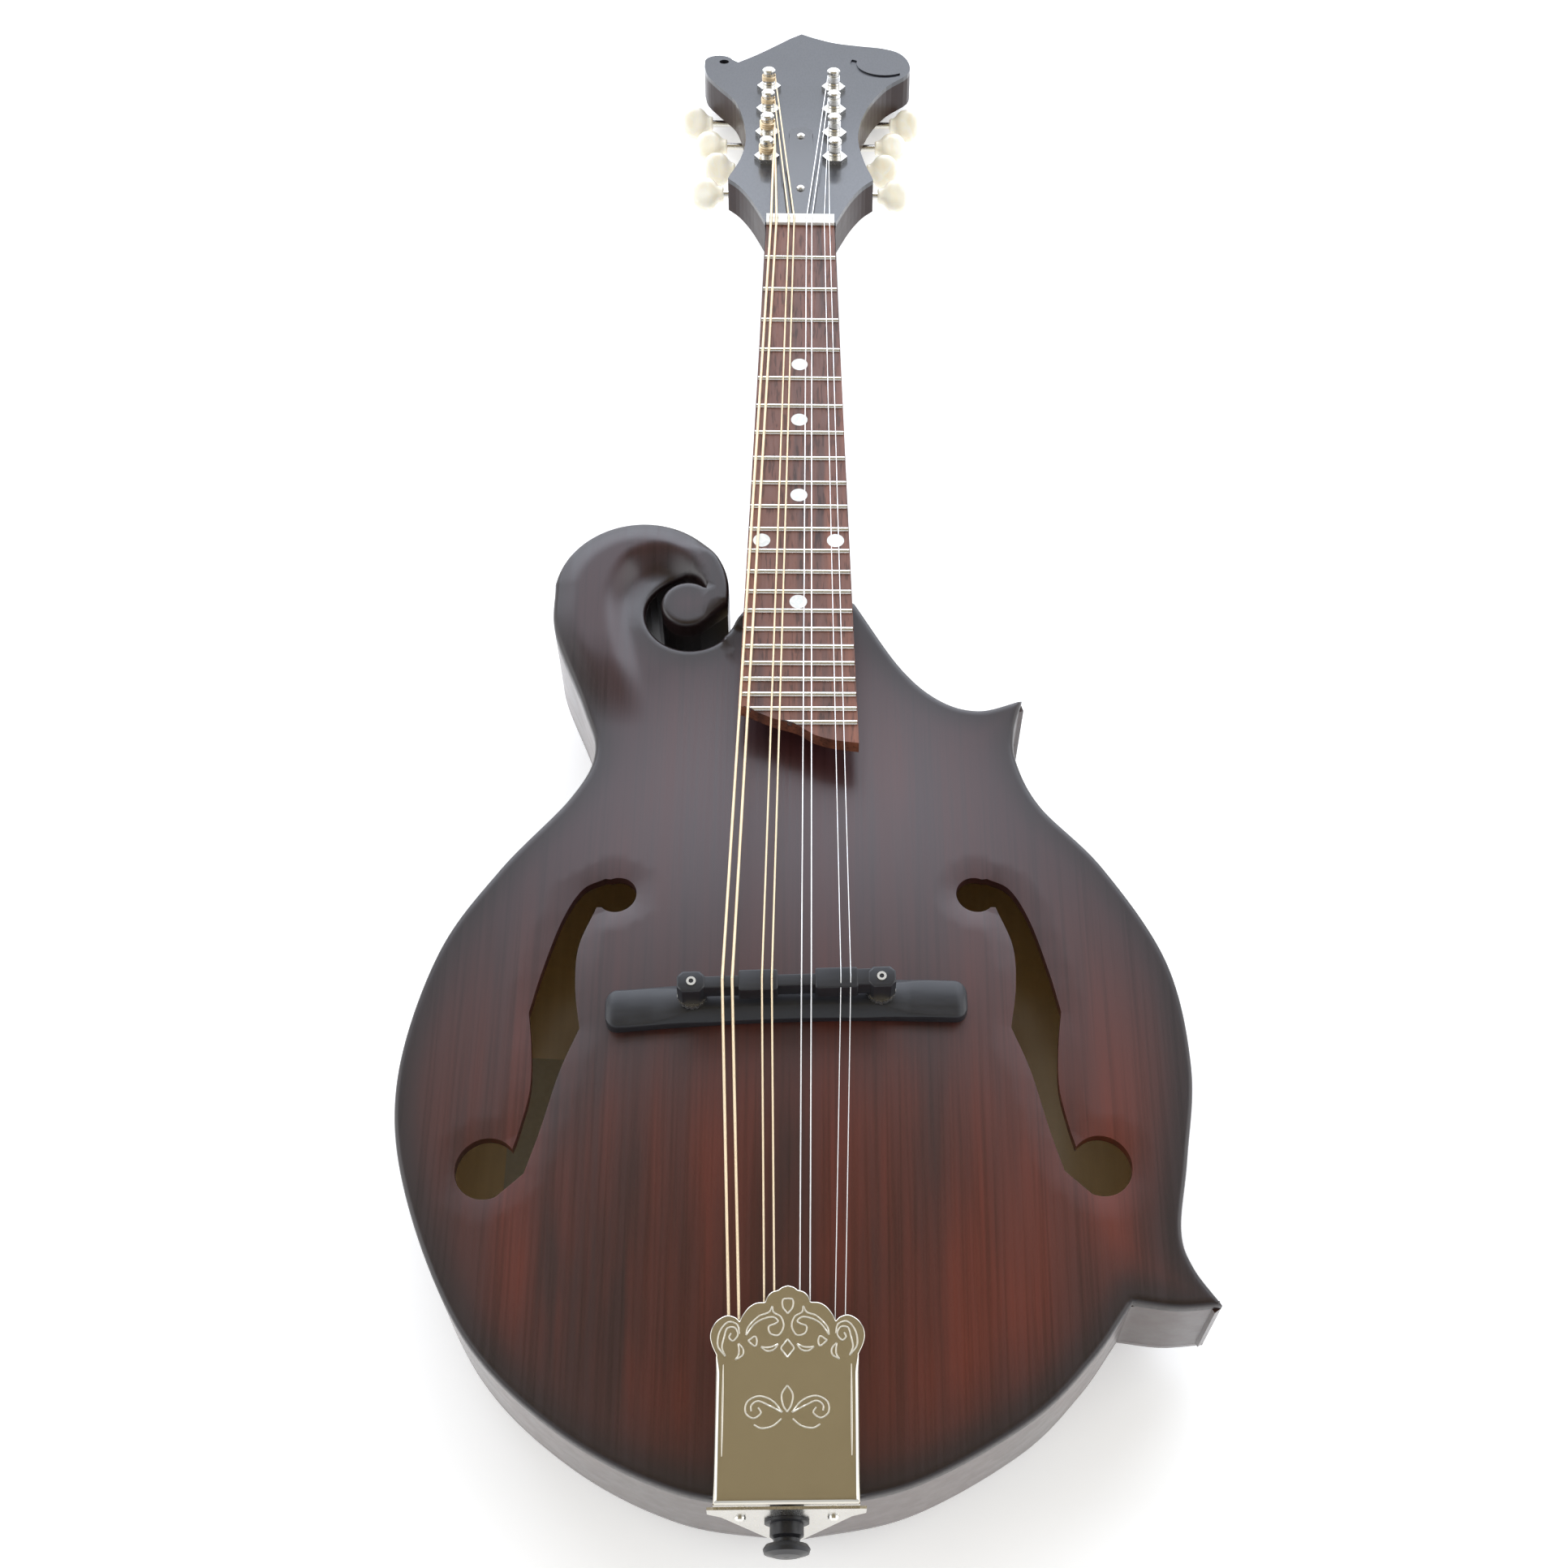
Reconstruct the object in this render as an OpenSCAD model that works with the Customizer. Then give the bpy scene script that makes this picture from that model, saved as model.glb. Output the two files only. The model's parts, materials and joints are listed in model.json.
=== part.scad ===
// F-style carved mandolin with a scroll, two points and two f-holes, strung with four pairs.
// Millimetres. The origin is the lowest point of the arched back, on the centreline.
// +X is the treble side, +Y points to the headstock and +Z comes out of the top.

/* [Body] */
// Widest part of the body
body_w = 255; // [250:1:260]
// Depth of the sides with both plate edges
rim_depth = 45; // [42:0.5:46]
// Thickness of the plates at their edge
plate_edge = 4.5; // [4:0.1:5]
// Rise of the carved top above its edge
top_arch = 13; // [11:0.5:14]
// Rise of the carved back
back_arch = 12; // [10:0.5:14]
// Thickness of the bent sides
rib_t = 2.4; // [2:0.1:3]
// Width of the lining strips
lining_w = 5.5; // [4:0.5:7]
// Height of the lining strips
lining_h = 12; // [8:1:14]

/* [Neck] */
// String length from the nut to the saddle
scale_length = 352.4; // [350:0.1:354]
// Angle of the neck to the body
neck_pitch = 4.67; // [4.4:0.01:4.9]
// Angle of the headstock to the neck
head_angle = 13; // [12:0.5:14]
// Width of the neck at the nut
nut_w = 28; // [27:0.1:30]
// Width of the fretboard at its end
board_end_w = 42; // [41:0.1:43]
// Length of the fretboard from the nut
board_len = 262; // [260:0.5:263]
// Thickness of the fretboard
board_t = 5.5; // [5:0.1:6]
// Number of frets
fret_count = 22; // [18:1:22]
// Thickness of the headstock with its overlay
head_t = 15; // [14:0.5:16]
// Thickness of the black headstock overlay
overlay_t = 2; // [1.5:0.1:2.5]

/* [Strings] */
// Distance between the outer strings at the nut
nut_spread = 24; // [23:0.1:25]
// Distance between the outer strings at the saddle
saddle_spread = 40.4; // [39:0.1:42]
// Gap between the two strings of a pair at the nut
pair_gap_nut = 2.2; // [2:0.1:2.5]
// Gap between the two strings of a pair at the saddle
pair_gap_saddle = 3.1; // [2.8:0.1:3.4]
// How far the bridge and tailpiece sit off the centreline
string_offset = -2; // [-3:0.5:0]

/* [Bridge] */
// Length of the bridge foot
base_len = 116; // [108:1:118]
// Length of the bridge saddle
saddle_len = 69; // [66:1:72]
// Distance between the two bridge posts
post_gap = 60; // [58:1:62]
// Depth of the bridge foot from front to back
base_depth = 13; // [10:0.5:14]
// Turn of the bridge that sets the bass strings longer
bridge_skew = 1.6; // [0:0.1:3]
// Diameter of the thumbwheels
wheel_d = 9.6; // [9:0.1:10]

/* [Tailpiece] */
// Width of the tailpiece cover
cover_w = 42; // [41.8:0.1:42.6]
// Length of the tailpiece cover along the centreline
cover_len = 60.7; // [58:0.1:62]
// Thickness of the tailpiece metal
metal_t = 0.8; // [0.6:0.1:1]

/* [Tuners] */
// Distance between neighbouring tuner posts
post_pitch = 23; // [22.8:0.1:23.2]
// Distance from the nut to the first tuner post
first_post = 55.5; // [54:0.5:57]
// Distance of the tuner posts from the centreline
post_x = 14.7; // [14.5:0.1:15]
// Diameter of the tuner posts
tuner_post_d = 5.9; // [5.8:0.1:6]
// Distance between the axes of worm and gear
worm_offset = 8; // [7.9:0.1:8.2]

/* [Hidden] */
$fn = 48;
SIDES = ["bass", "treble"];
TUNER_PIECES = ["post", "worm", "button"];
TUNER_NODES = [for (p = TUNER_PIECES, s = SIDES, i = [1:4]) str("tuner_", p, "_", s, "_", i)];

// Levels of the body, from the lowest point of the back
back_edge = back_arch;
back_glue = back_edge + plate_edge;
top_edge = back_edge + rim_depth;
top_glue = top_edge - plate_edge;
plate_t = plate_edge + 0.3;
gap = 0.05;

// Places of the neck
nut_y = 375;
nut_z = top_edge - 4.755;
nut_t = 5.5;
nut_rise = 1.4;
face_drop = board_t - overlay_t - 0.2;
neck_end = 184.2;
neck_depth = 15.5;
tenon_len = 16;

// Places of the bridge
bridge_x = string_offset - 1;
bridge_y = 20.3;
base_shift = -0.7;
foot_h = 4.6;
saddle_top = top_edge + 28.7;
saddle_h = 9;
saddle_bottom = saddle_top - saddle_h;
wheel_t = 2;
post_r = 1.5;

// Places of the tail
tail_y = -133.5;
pin_r = 3.3;
pin_z = top_edge - 11;
hook_y = -108;
hook_z = top_edge + 7.5;
bed_z = top_edge + 2.6;
cover_tilt = 4;
cover_drop = 8;

// Tuner sizes
bushing_r = 4.4;
gear_r = 4.5;
gear_t = 3.6;
gear_teeth = 15;
worm_r = 2.9;
shaft_r = 1.6;
plate_gauge = 1.2;
shaft_z = -head_t - plate_gauge - 4.8;
gear_low = shaft_z - gear_t / 2;
button_t = 7.5;
button_x = [34, 29.5, 33.7, 41];
button_turn = [35, 55, 30, 45];

function mm(p) = [p[0] * body_w / 255, p[1]];
function arc(c, r, from, to, n) =
  [for (i = [0:n]) let (a = from + (to - from) * i / n) c + r * [cos(a), sin(a)]];
function blend(a, b, c, d, t) = b + 0.5 * t * (c - a
  + t * (2 * a - 5 * b + 4 * c - d + t * (3 * b - a - 3 * c + d)));
// A smooth run through every point of p, with n steps between neighbours
function curve(p, n = 5) = let (m = len(p) - 1) concat(
  [for (i = [0:m - 1], k = [0:n - 1])
    blend(
      i == 0 ? 2 * p[0] - p[1] : p[i - 1],
      p[i],
      p[i + 1],
      i == m - 1 ? 2 * p[m] - p[m - 1] : p[i + 2],
      k / n)],
  [p[m]]);
function back_to_front(p) = [for (i = [len(p) - 1:-1:0]) p[i]];
function left_of(v) = let (u = v / norm(v)) [-u[1], u[0]];
function normal_at(p, i) = let (
    a = left_of(p[min(i + 1, len(p) - 1)] - p[min(i, len(p) - 2)]),
    b = left_of(p[max(i, 1)] - p[max(i - 1, 0)]),
    s = a + b)
  s / max(0.5 * s * s, 0.6);
// The run p moved to its left by d
function inset(p, d) = [for (i = [0:len(p) - 1]) p[i] + d * normal_at(p, i)];

// The outline of the body, counter-clockwise from the tail
tail_run = [for (p = curve([[0, -133.5], [35, -127], [70, -109], [90, -90.8], [103, -74]])) mm(p)];
lower_point_run = [for (p = curve([[103, -74], [117, -75.8], [130.5, -75]], 3)) mm(p)];
bout_run = [for (p = curve([[130.5, -75], [122.6, -63], [120, -51], [124, -28], [128, 3], [123, 40], [104, 75],
  [84, 98.5], [76.5, 117], [76.5, 130], [79.8, 142.2]])) mm(p)];
shoulder_run = [for (p = curve([[79.8, 142.2], [64, 137.8], [50, 142.3], [36.5, 156.2],
  [20.2, neck_end]])) mm(p)];
slot_centre = [-39, 179.3];
button_centre = [-40, 180.5];
slot_run = concat(
  [[-18.8, neck_end], [-19.6, 178]],
  arc(slot_centre, 16.5, -28, -250, 14),
  curve([[-41.4, 195.2], [-38.4, 193.9], [-36, 191.8], [-34.2, 189]], 3),
  arc(button_centre, 9.6, 50, 318, 14));
scroll_run = arc([-57, 186], 31.8, -10, 172, 22);
bass_run = [for (p = curve([[-88.5, 190.4], [-87.2, 169], [-75.5, 139], [-70.6, 120], [-78, 101.5], [-100, 74],
  [-118, 43], [-127, 0], [-121, -38], [-100, -82], [-70, -110.5], [-35, -128], [0, -133.5]])) mm(p)];
body_points = concat(tail_run, lower_point_run, bout_run, shoulder_run, slot_run, scroll_run, bass_run);
function after_first(p) = [for (i = [1:len(p) - 1]) p[i]];
tail_rib = concat(tail_run, after_first(lower_point_run));
bass_rib = concat(scroll_run, after_first(bass_run));

// One f-hole on the treble side: two round eyes joined by a slanted stem with a nick on each side
f_outer = curve([[64, 68.4], [71.5, 64.5], [77.6, 53], [83, 34.5], [86.2, 20.2]], 4);
f_outer_low = curve([[86.2, 20.2], [84.6, 8], [84, -6], [86.2, -18], [88.3, -25.6]], 4);
f_eye_low = arc([96.2, -31.4], 9.8, 143, -112, 12);
f_inner = curve([[84.2, -33.5], [80, -20], [75, -1], [69.4, 13.6]], 4);
f_inner_up = curve([[69.4, 13.6], [71.6, 28], [71.4, 43], [66.3, 57.5]], 4);
f_eye_up = arc([59.8, 61.9], 6.6, -42, -290, 12);

module body_shape() { polygon(body_points); }
module strip(run, from, to) { polygon(concat(inset(run, from), back_to_front(inset(run, to)))); }
module f_hole_shape() { polygon(concat(f_outer, f_outer_low, f_eye_low, f_inner, f_inner_up, f_eye_up)); }
module f_holes() { for (m = [0, 1]) mirror([m, 0]) f_hole_shape(); }

// The carved arch: 1 at the middle of the plate and 0 at its edge
arch_x = 129;
arch_neck = 166;
arch_tail = 136;
function arch(x, y) =
  let (b = y > 0 ? arch_neck : arch_tail, s = 1 - pow(x / arch_x, 2) - pow(y / b, 2)) s > 0 ? s * s : 0;
function top_at(x, y) = top_edge + top_arch * arch(x, y);
function back_at(x, y) = back_edge - back_arch * arch(x, y);

// A carved sheet between two surfaces over the whole body
cell = 8;
xs = [for (x = [-136:cell:136]) x];
ys = [for (y = [-136:cell:224]) y];
module sheet(upper, lower) {
  w = len(ys);
  n = len(xs) * w;
  points = concat(
    [for (x = xs, y = ys) [x, y, upper(x, y)]],
    [for (x = xs, y = ys) [x, y, lower(x, y)]]);
  quads = [for (i = [0:len(xs) - 2], j = [0:w - 2]) let (a = i * w + j) [a, a + 1, a + w + 1, a + w]];
  up = [for (q = quads, t = [[q[0], q[1], q[2]], [q[0], q[2], q[3]]]) t];
  down = [for (q = quads, t = [[q[0] + n, q[2] + n, q[1] + n], [q[0] + n, q[3] + n, q[2] + n]]) t];
  rim = concat(
    [for (i = [0:len(xs) - 1]) i * w],
    [for (j = [1:w - 1]) (len(xs) - 1) * w + j],
    [for (i = [len(xs) - 2:-1:0]) i * w + w - 1],
    [for (j = [w - 2:-1:1]) j]);
  sides = [for (k = [0:len(rim) - 1]) let (a = rim[k], b = rim[(k + 1) % len(rim)])
    each [[a, b, b + n], [a, b + n, a + n]]];
  polyhedron(points, concat(up, down, sides));
}

module in_neck() { translate([0, nut_y, nut_z]) rotate([-neck_pitch, 0, 0]) children(); }
module in_head() { in_neck() translate([0, nut_t, -face_drop]) rotate([-head_angle, 0, 0]) children(); }
module in_bridge() { translate([bridge_x, bridge_y, 0]) rotate([0, 0, bridge_skew]) children(); }
module in_cover() { translate([string_offset, tail_y, top_edge + 11]) rotate([cover_tilt, 0, 0]) children(); }
module body_prism(low, high) { translate([0, 0, low]) linear_extrude(high - low) body_shape(); }
module rib_prism() { translate([0, 0, back_glue]) linear_extrude(top_glue - back_glue) children(); }

// Plates
module top_plate() {
  color([0.24, 0.13, 0.12]) intersection() {
    sheet(function (x, y) top_at(x, y), function (x, y) max(top_glue, top_at(x, y) - plate_t));
    difference() {
      body_prism(top_glue - 1, top_edge + top_arch + 1);
      translate([0, 0, top_glue - 2]) linear_extrude(top_arch + 10) f_holes();
    }
  }
}

module back_plate() {
  color([0.24, 0.13, 0.12]) intersection() {
    sheet(function (x, y) min(back_glue, back_at(x, y) + plate_t), function (x, y) back_at(x, y));
    body_prism(-1, back_glue + 1);
  }
}

// Sides
module pin_bore() {
  translate([string_offset, tail_y - 3, pin_z]) rotate([-90, 0, 0]) cylinder(r = pin_r + gap, h = 26);
}
module tail_bores() {
  pin_bore();
  at_tail_screws() screw_bore();
}

// The bass rib and the tail rib meet on the centreline under the end pin
module centre_half(from) { translate([from, tail_y - 20]) square([50, 40]); }

module rib_bass() {
  color([0.2, 0.1, 0.09]) difference() {
    rib_prism() difference() {
      strip(bass_rib, 0, rib_t);
      centre_half(0);
    }
    tail_bores();
  }
}

module rib_tail() {
  color([0.2, 0.1, 0.09]) difference() {
    rib_prism() difference() {
      strip(tail_rib, 0, rib_t);
      centre_half(-50);
    }
    tail_bores();
  }
}

module rib_bout() {
  color([0.2, 0.1, 0.09]) rib_prism() difference() {
    intersection() {
      strip(bout_run, 0, rib_t);
      body_shape();
    }
    strip(tail_rib, -1, rib_t);
  }
}

// The shoulder's side stops short of the very tip of the upper point
shoulder_area = [[0, 130], [78.4, 60]];
module rib_shoulder() {
  color([0.2, 0.1, 0.09]) rib_prism() difference() {
    intersection() {
      strip(shoulder_run, 0, rib_t);
      body_shape();
      area(shoulder_area);
    }
    strip(bout_run, -3, rib_t);
  }
}

// The space inside the ribs
module inside_shape(t) {
  difference() {
    body_shape();
    for (run = [tail_rib, bout_run, shoulder_run, bass_rib]) strip(run, -1, t);
  }
}

// The areas that the four inner blocks fill: corner, width and depth
neck_area = [[-100, 132], [140, 100]];
tail_area = [[-36, -140], [72, 26]];
upper_point_area = [[52, 118], [40, 40]];
lower_point_area = [[97, -84], [40, 38]];
module area(a) { translate(a[0]) square(a[1]); }
module block(a) {
  rib_prism() intersection() {
    inside_shape(rib_t);
    area(a);
  }
}

module tenon_shape(extra) {
  polygon([[-9 - extra, neck_end + 1], [9 + extra, neck_end + 1],
    [11 + extra, neck_end - tenon_len - extra], [-11 - extra, neck_end - tenon_len - extra]]);
}

module neck_block() {
  color([0.72, 0.55, 0.36]) difference() {
    block(neck_area);
    translate([0, 0, tenon_bottom - 0.1]) linear_extrude(60) tenon_shape(gap);
  }
}

module tail_block() {
  color([0.72, 0.55, 0.36]) difference() {
    block(tail_area);
    tail_bores();
  }
}

module upper_point_block() { color([0.72, 0.55, 0.36]) block(upper_point_area); }
module lower_point_block() { color([0.72, 0.55, 0.36]) block(lower_point_area); }

module lining_shape() {
  difference() {
    inside_shape(rib_t);
    inside_shape(rib_t + lining_w);
    for (a = [neck_area, tail_area, upper_point_area, lower_point_area]) area(a);
  }
}

module linings() {
  color([0.8, 0.66, 0.45]) for (z = [back_glue, top_glue - lining_h])
    translate([0, 0, z]) linear_extrude(lining_h) lining_shape();
}

// Two braces under the top, one on each side of the bridge
bar_t = 5;
bar_x = 26;
bar_turn = 6;
bar_half = 78;
function bar_top(y) = top_at(bar_x + bar_t + abs(y) * sin(bar_turn), 5 + y) - plate_t - 0.1;
module tone_bars() {
  color([0.85, 0.72, 0.5]) for (s = [-1, 1])
    translate([s * bar_x, 5, 0]) rotate([90, 0, 90 + s * bar_turn])
      translate([0, 0, -bar_t / 2]) linear_extrude(bar_t)
      polygon(concat([[bar_half, bar_top(bar_half) - 3], [bar_half - 30, bar_top(0) - 13],
        [30 - bar_half, bar_top(0) - 13], [-bar_half, bar_top(bar_half) - 3]],
        [for (y = [-bar_half:6:bar_half]) [y, bar_top(y)]]));
}

// Blank paper label on the inside of the back, below the bass f-hole
module paper_label() {
  color([0.75, 0.7, 0.55]) intersection() {
    sheet(function (x, y) back_at(x, y) + plate_t + 0.35, function (x, y) back_at(x, y) + plate_t + 0.05);
    translate([-96, -42, 0]) cube([44, 66, back_glue]);
  }
}

// Neck
function neck_half(v) = (nut_w + (board_end_w - nut_w) * v / board_len) / 2;
module neck_section(v, half, depth) {
  translate([0, -v, 0]) rotate([90, 0, 0]) linear_extrude(0.1)
    polygon(concat([[half, -board_t]],
      [for (a = [0:-15:-180]) [half * cos(a), -board_t - 2.5 + (depth - 2.5) * sin(a)]], [[-half, -board_t]]));
}

module head_shape() {
  polygon(concat(
    [[-nut_w / 2 - 0.6, 0], [nut_w / 2 + 0.6, 0]],
    curve([[17, 8], [21, 20], [26, 31], [31, 38]], 3),
    curve([[30.5, 41], [27.6, 54], [25.2, 74], [26.5, 92], [31.5, 112], [39, 129], [49.3, 143], [50.2, 155],
      [46, 165.5], [38, 170.5], [28, 172.6], [16, 175.6], [6, 181], [0, 185.3]], 4),
    curve([[-5, 180.5], [-12, 172], [-21, 161.5], [-29.5, 153]], 3),
    arc([-38.4, 153.6], 6.6, 20, 190, 10),
    curve([[-44.9, 148], [-43, 138], [-37, 126], [-29.6, 112], [-25.6, 92], [-24.2, 74], [-26.2, 56],
      [-30.6, 40]], 4),
    curve([[-31, 38], [-26, 31], [-21, 20], [-17, 8]], 3)));
}

module rod_pocket() {
  in_neck() translate([-4.5, nut_t + 0.01, -14]) cube([9, 22, 14]);
}

module post_holes() {
  for (s = [-1, 1], i = [1:4]) at_tuner(s, i) translate([0, 0, -head_t - 1])
    cylinder(r = bushing_r + gap, h = head_t + 2);
}

module nut_seat() {
  in_neck() translate([-nut_w, -2, -board_t - 0.02]) cube([2 * nut_w, nut_t + 2, board_t + 10]);
}

heel_v = 150;
module heel() {
  difference() {
    hull() {
      in_neck() neck_section(heel_v - 0.1, neck_half(heel_v), neck_depth + 1.5);
      in_neck() neck_section(170, neck_half(170), neck_depth + 3);
      in_neck() neck_section(190, neck_half(190), 4);
      translate([-9, neck_end, back_edge + 0.2]) cube([18, 7, 0.5]);
      translate([-11, neck_end, top_glue - 8]) cube([22, 22, 1]);
    }
    translate([-40, neck_end - 40, 0]) cube([80, 40 + gap, top_edge + 2.4]);
  }
}

rod_r = 2.5;
rod_z = -10.5;
rod_end = 176;
tenon_bottom = back_glue + 1.6;
module neck() {
  color([0.2, 0.1, 0.08]) difference() {
    union() {
      in_neck() hull() {
        neck_section(-nut_t, nut_w / 2 + 0.4, neck_depth - 1);
        neck_section(heel_v, neck_half(heel_v), neck_depth + 1.5);
      }
      heel();
      in_head() translate([0, 0, -head_t]) linear_extrude(head_t - overlay_t) head_shape();
      translate([0, 0, tenon_bottom]) linear_extrude(top_glue - 0.1 - tenon_bottom) tenon_shape(0);
      extension();
    }
    rod_pocket();
    nut_seat();
    in_neck() translate([0, -rod_end, rod_z]) rotate([-90, 0, 0])
      cylinder(r = rod_r + gap, h = rod_end + nut_t + 2);
    post_holes();
    at_plate_screws() screw_bore();
    at_truss_screws() screw_bore();
  }
}

// The tongue that carries the fretboard over the top
module extension() {
  intersection() {
    in_neck() translate([-14, -232, -board_t - 14]) cube([28, 46, 14]);
    translate([-20, 100, top_edge + 2.4]) cube([40, 90, 40]);
  }
}

module truss_rod() {
  color("silver") in_neck() translate([0, -rod_end + 1, rod_z]) rotate([-90, 0, 0])
    cylinder(r = rod_r, h = rod_end + nut_t + 3);
}

module truss_rod_nut() {
  color("goldenrod") in_neck() translate([0, nut_t + 4.2, rod_z]) rotate([-90, 0, 0]) difference() {
    cylinder(r = 3.4, h = 9, $fn = 6);
    translate([0, 0, 3]) cylinder(r = 1.8, h = 7, $fn = 6);
  }
}

// A bell-shaped cover over the truss rod's end
cover_y = [4, 84];
module truss_cover_shape() {
  polygon(concat(
    [[-9.5, cover_y[0]], [9.5, cover_y[0]]],
    curve([[9.5, 9], [8.4, 22], [6.2, 40], [5.6, 60], [5, 76]], 4),
    arc([0, 78], 5.4, -10, 190, 8),
    curve([[-5, 76], [-5.6, 60], [-6.2, 40], [-8.4, 22], [-9.5, 9]], 4)));
}
truss_cover_t = 1.82;
module truss_rod_cover() {
  color([0.06, 0.06, 0.07]) difference() {
    in_head() translate([0, 0, 0.02]) linear_extrude(truss_cover_t - 0.02) truss_cover_shape();
    at_truss_screws() screw_bore();
  }
}

module headstock_overlay() {
  color([0.09, 0.09, 0.11]) difference() {
    in_head() translate([0, 0, -overlay_t]) linear_extrude(overlay_t) head_shape();
    in_head() translate([0, 0, -0.7]) linear_extrude(1) crescent();
    in_head() translate([-36, 153.5, -1.5]) cylinder(r = 2.2, h = 2);
    at_truss_screws() screw_bore();
    nut_seat();
    rod_pocket();
    post_holes();
  }
}
module crescent() {
  polygon(concat(arc([37.4, 153], 14.6, 160, 304, 12), back_to_front(arc([38.3, 154], 12.6, 168, 306, 12))));
}

module nut() {
  color("ivory") difference() {
    in_neck() translate([-nut_w / 2, 0.02, -board_t]) cube([nut_w, nut_t - 0.04, board_t + nut_rise]);
    for (k = [0:7]) string_groove(k, 1);
  }
}

function fret_v(n) = scale_length * (1 - pow(2, -n / 12));

module board_shape(trim = 0) {
  e = neck_half(board_len) - trim;
  l = neck_half(246) - trim;
  polygon(concat([[-nut_w / 2 + trim, 0], [-l, -246]],
    curve([[-l, -246], [-15, -248.5], [-8, -251.8], [0, -254.6], [6, -258.6], [13, -260.8],
      [e, -board_len]], 4),
    [[nut_w / 2 - trim, 0]]));
}

module fretboard() {
  color([0.38, 0.2, 0.17]) in_neck() difference() {
    translate([0, 0, -board_t + 0.02]) linear_extrude(board_t - 0.02) board_shape();
    for (n = [1:fret_count]) translate([-30, -fret_v(n) - 0.3, -2]) cube([60, 0.6, 3]);
    dots(2);
  }
}

crown_r = 1;
module frets() {
  color("silver") in_neck() intersection() {
    translate([0, 0, -1.8]) linear_extrude(4) board_shape(0.3);
    for (n = [1:fret_count]) {
      translate([-30, -fret_v(n) - 0.25, -1.8]) cube([60, 0.5, 2.2]);
      intersection() {
        translate([-30, -fret_v(n), -0.05]) rotate([0, 90, 0]) cylinder(r = crown_r, h = 60);
        translate([-30, -fret_v(n) - 2, 0.01]) cube([60, 4, 2]);
      }
    }
  }
}

DOTS = [[0, 5], [0, 7], [0, 10], [-13.5, 12], [13.5, 12], [0, 15]];
module dots(h) {
  for (d = DOTS) translate([d[0], -(fret_v(d[1]) + fret_v(d[1] - 1)) / 2, -h])
    cylinder(r = 3.15, h = h > 1.5 ? h + 1 : h);
}
module fret_dots() { color([0.93, 0.93, 0.9]) in_neck() translate([0, 0, -0.02]) dots(1.5); }

// Strings, numbered from the bass side
STRING_D = [0.96, 0.96, 0.66, 0.66, 0.4, 0.4, 0.28, 0.28];
function string_r(k) = STRING_D[k] / 2;
function across(k, spread, pair) =
  (floor(k / 2) - 1.5) * (spread - pair) / 3 + (k % 2 - 0.5) * pair;
function nut_string_x(k) = across(k, nut_spread, pair_gap_nut);
function row_point(v, x, z) = [
  x,
  nut_y - v * cos(neck_pitch) + z * sin(neck_pitch),
  nut_z + v * sin(neck_pitch) + z * cos(neck_pitch)];
function head_point(x, y, z) = let (
    a = nut_t + y * cos(head_angle) + z * sin(head_angle),
    b = -face_drop - y * sin(head_angle) + z * cos(head_angle))
  row_point(-a, x, b);
function saddle_point(k) = let (x = across(k, saddle_spread, pair_gap_saddle))
  [bridge_x + x * cos(bridge_skew), bridge_y + x * sin(bridge_skew), saddle_top + string_r(k) + 0.08];
function hook_point(k) = [string_offset + across(k, 33, 3), hook_y, hook_z];
function side_of(k) = k < 4 ? -1 : 1;
// The outer strings of each side go to the nearest posts
function post_of(k) = k < 4 ? k : 7 - k;
wrap_z = 6;
function wrap_r(k) = tuner_post_d / 2 - 0.45 + string_r(k) + 0.06;
function post_point(k) =
  head_point(side_of(k) * (post_x - wrap_r(k)), first_post + post_of(k) * post_pitch, wrap_z);
function nut_point(k) = row_point(-nut_t / 2, nut_string_x(k), nut_rise + string_r(k) * 0.2);
function string_path(k) = [post_point(k), nut_point(k), saddle_point(k), hook_point(k)];
module rod_between(a, b, r) {
  d = b - a;
  translate(a) rotate([0, acos(d[2] / norm(d)), atan2(d[1], d[0])]) cylinder(r = r, h = norm(d));
}
module string_run(k) {
  r = string_r(k);
  p = string_path(k);
  for (i = [0:2]) let (step = 0.6 * r * (p[i + 1] - p[i]) / norm(p[i + 1] - p[i]))
    rod_between(p[i] + step, p[i + 1] - step, r);
  for (i = [1:2]) translate(p[i]) sphere(r = 1.2 * r, $fn = 16);
  at_tuner(side_of(k), post_of(k) + 1) translate([0, 0, wrap_z - 2.6 * r])
    rotate_extrude() translate([wrap_r(k), 0]) circle(r = r, $fn = 16);
}
groove_gap = 0.1;
// Room for string k where it bends at point i of its path
module string_groove(k, i) {
  r = string_r(k);
  p = string_path(k);
  for (j = [i - 1, i + 1])
    rod_between(p[i], p[i] + 9 * (p[j] - p[i]) / norm(p[j] - p[i]), r + groove_gap);
  translate(p[i]) sphere(r = 1.2 * r + 2 * groove_gap);
}
module strings_wound() { color([0.8, 0.6, 0.35]) for (k = [0:3]) string_run(k); }
module strings_plain() { color([0.8, 0.8, 0.8]) for (k = [4:7]) string_run(k); }

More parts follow.
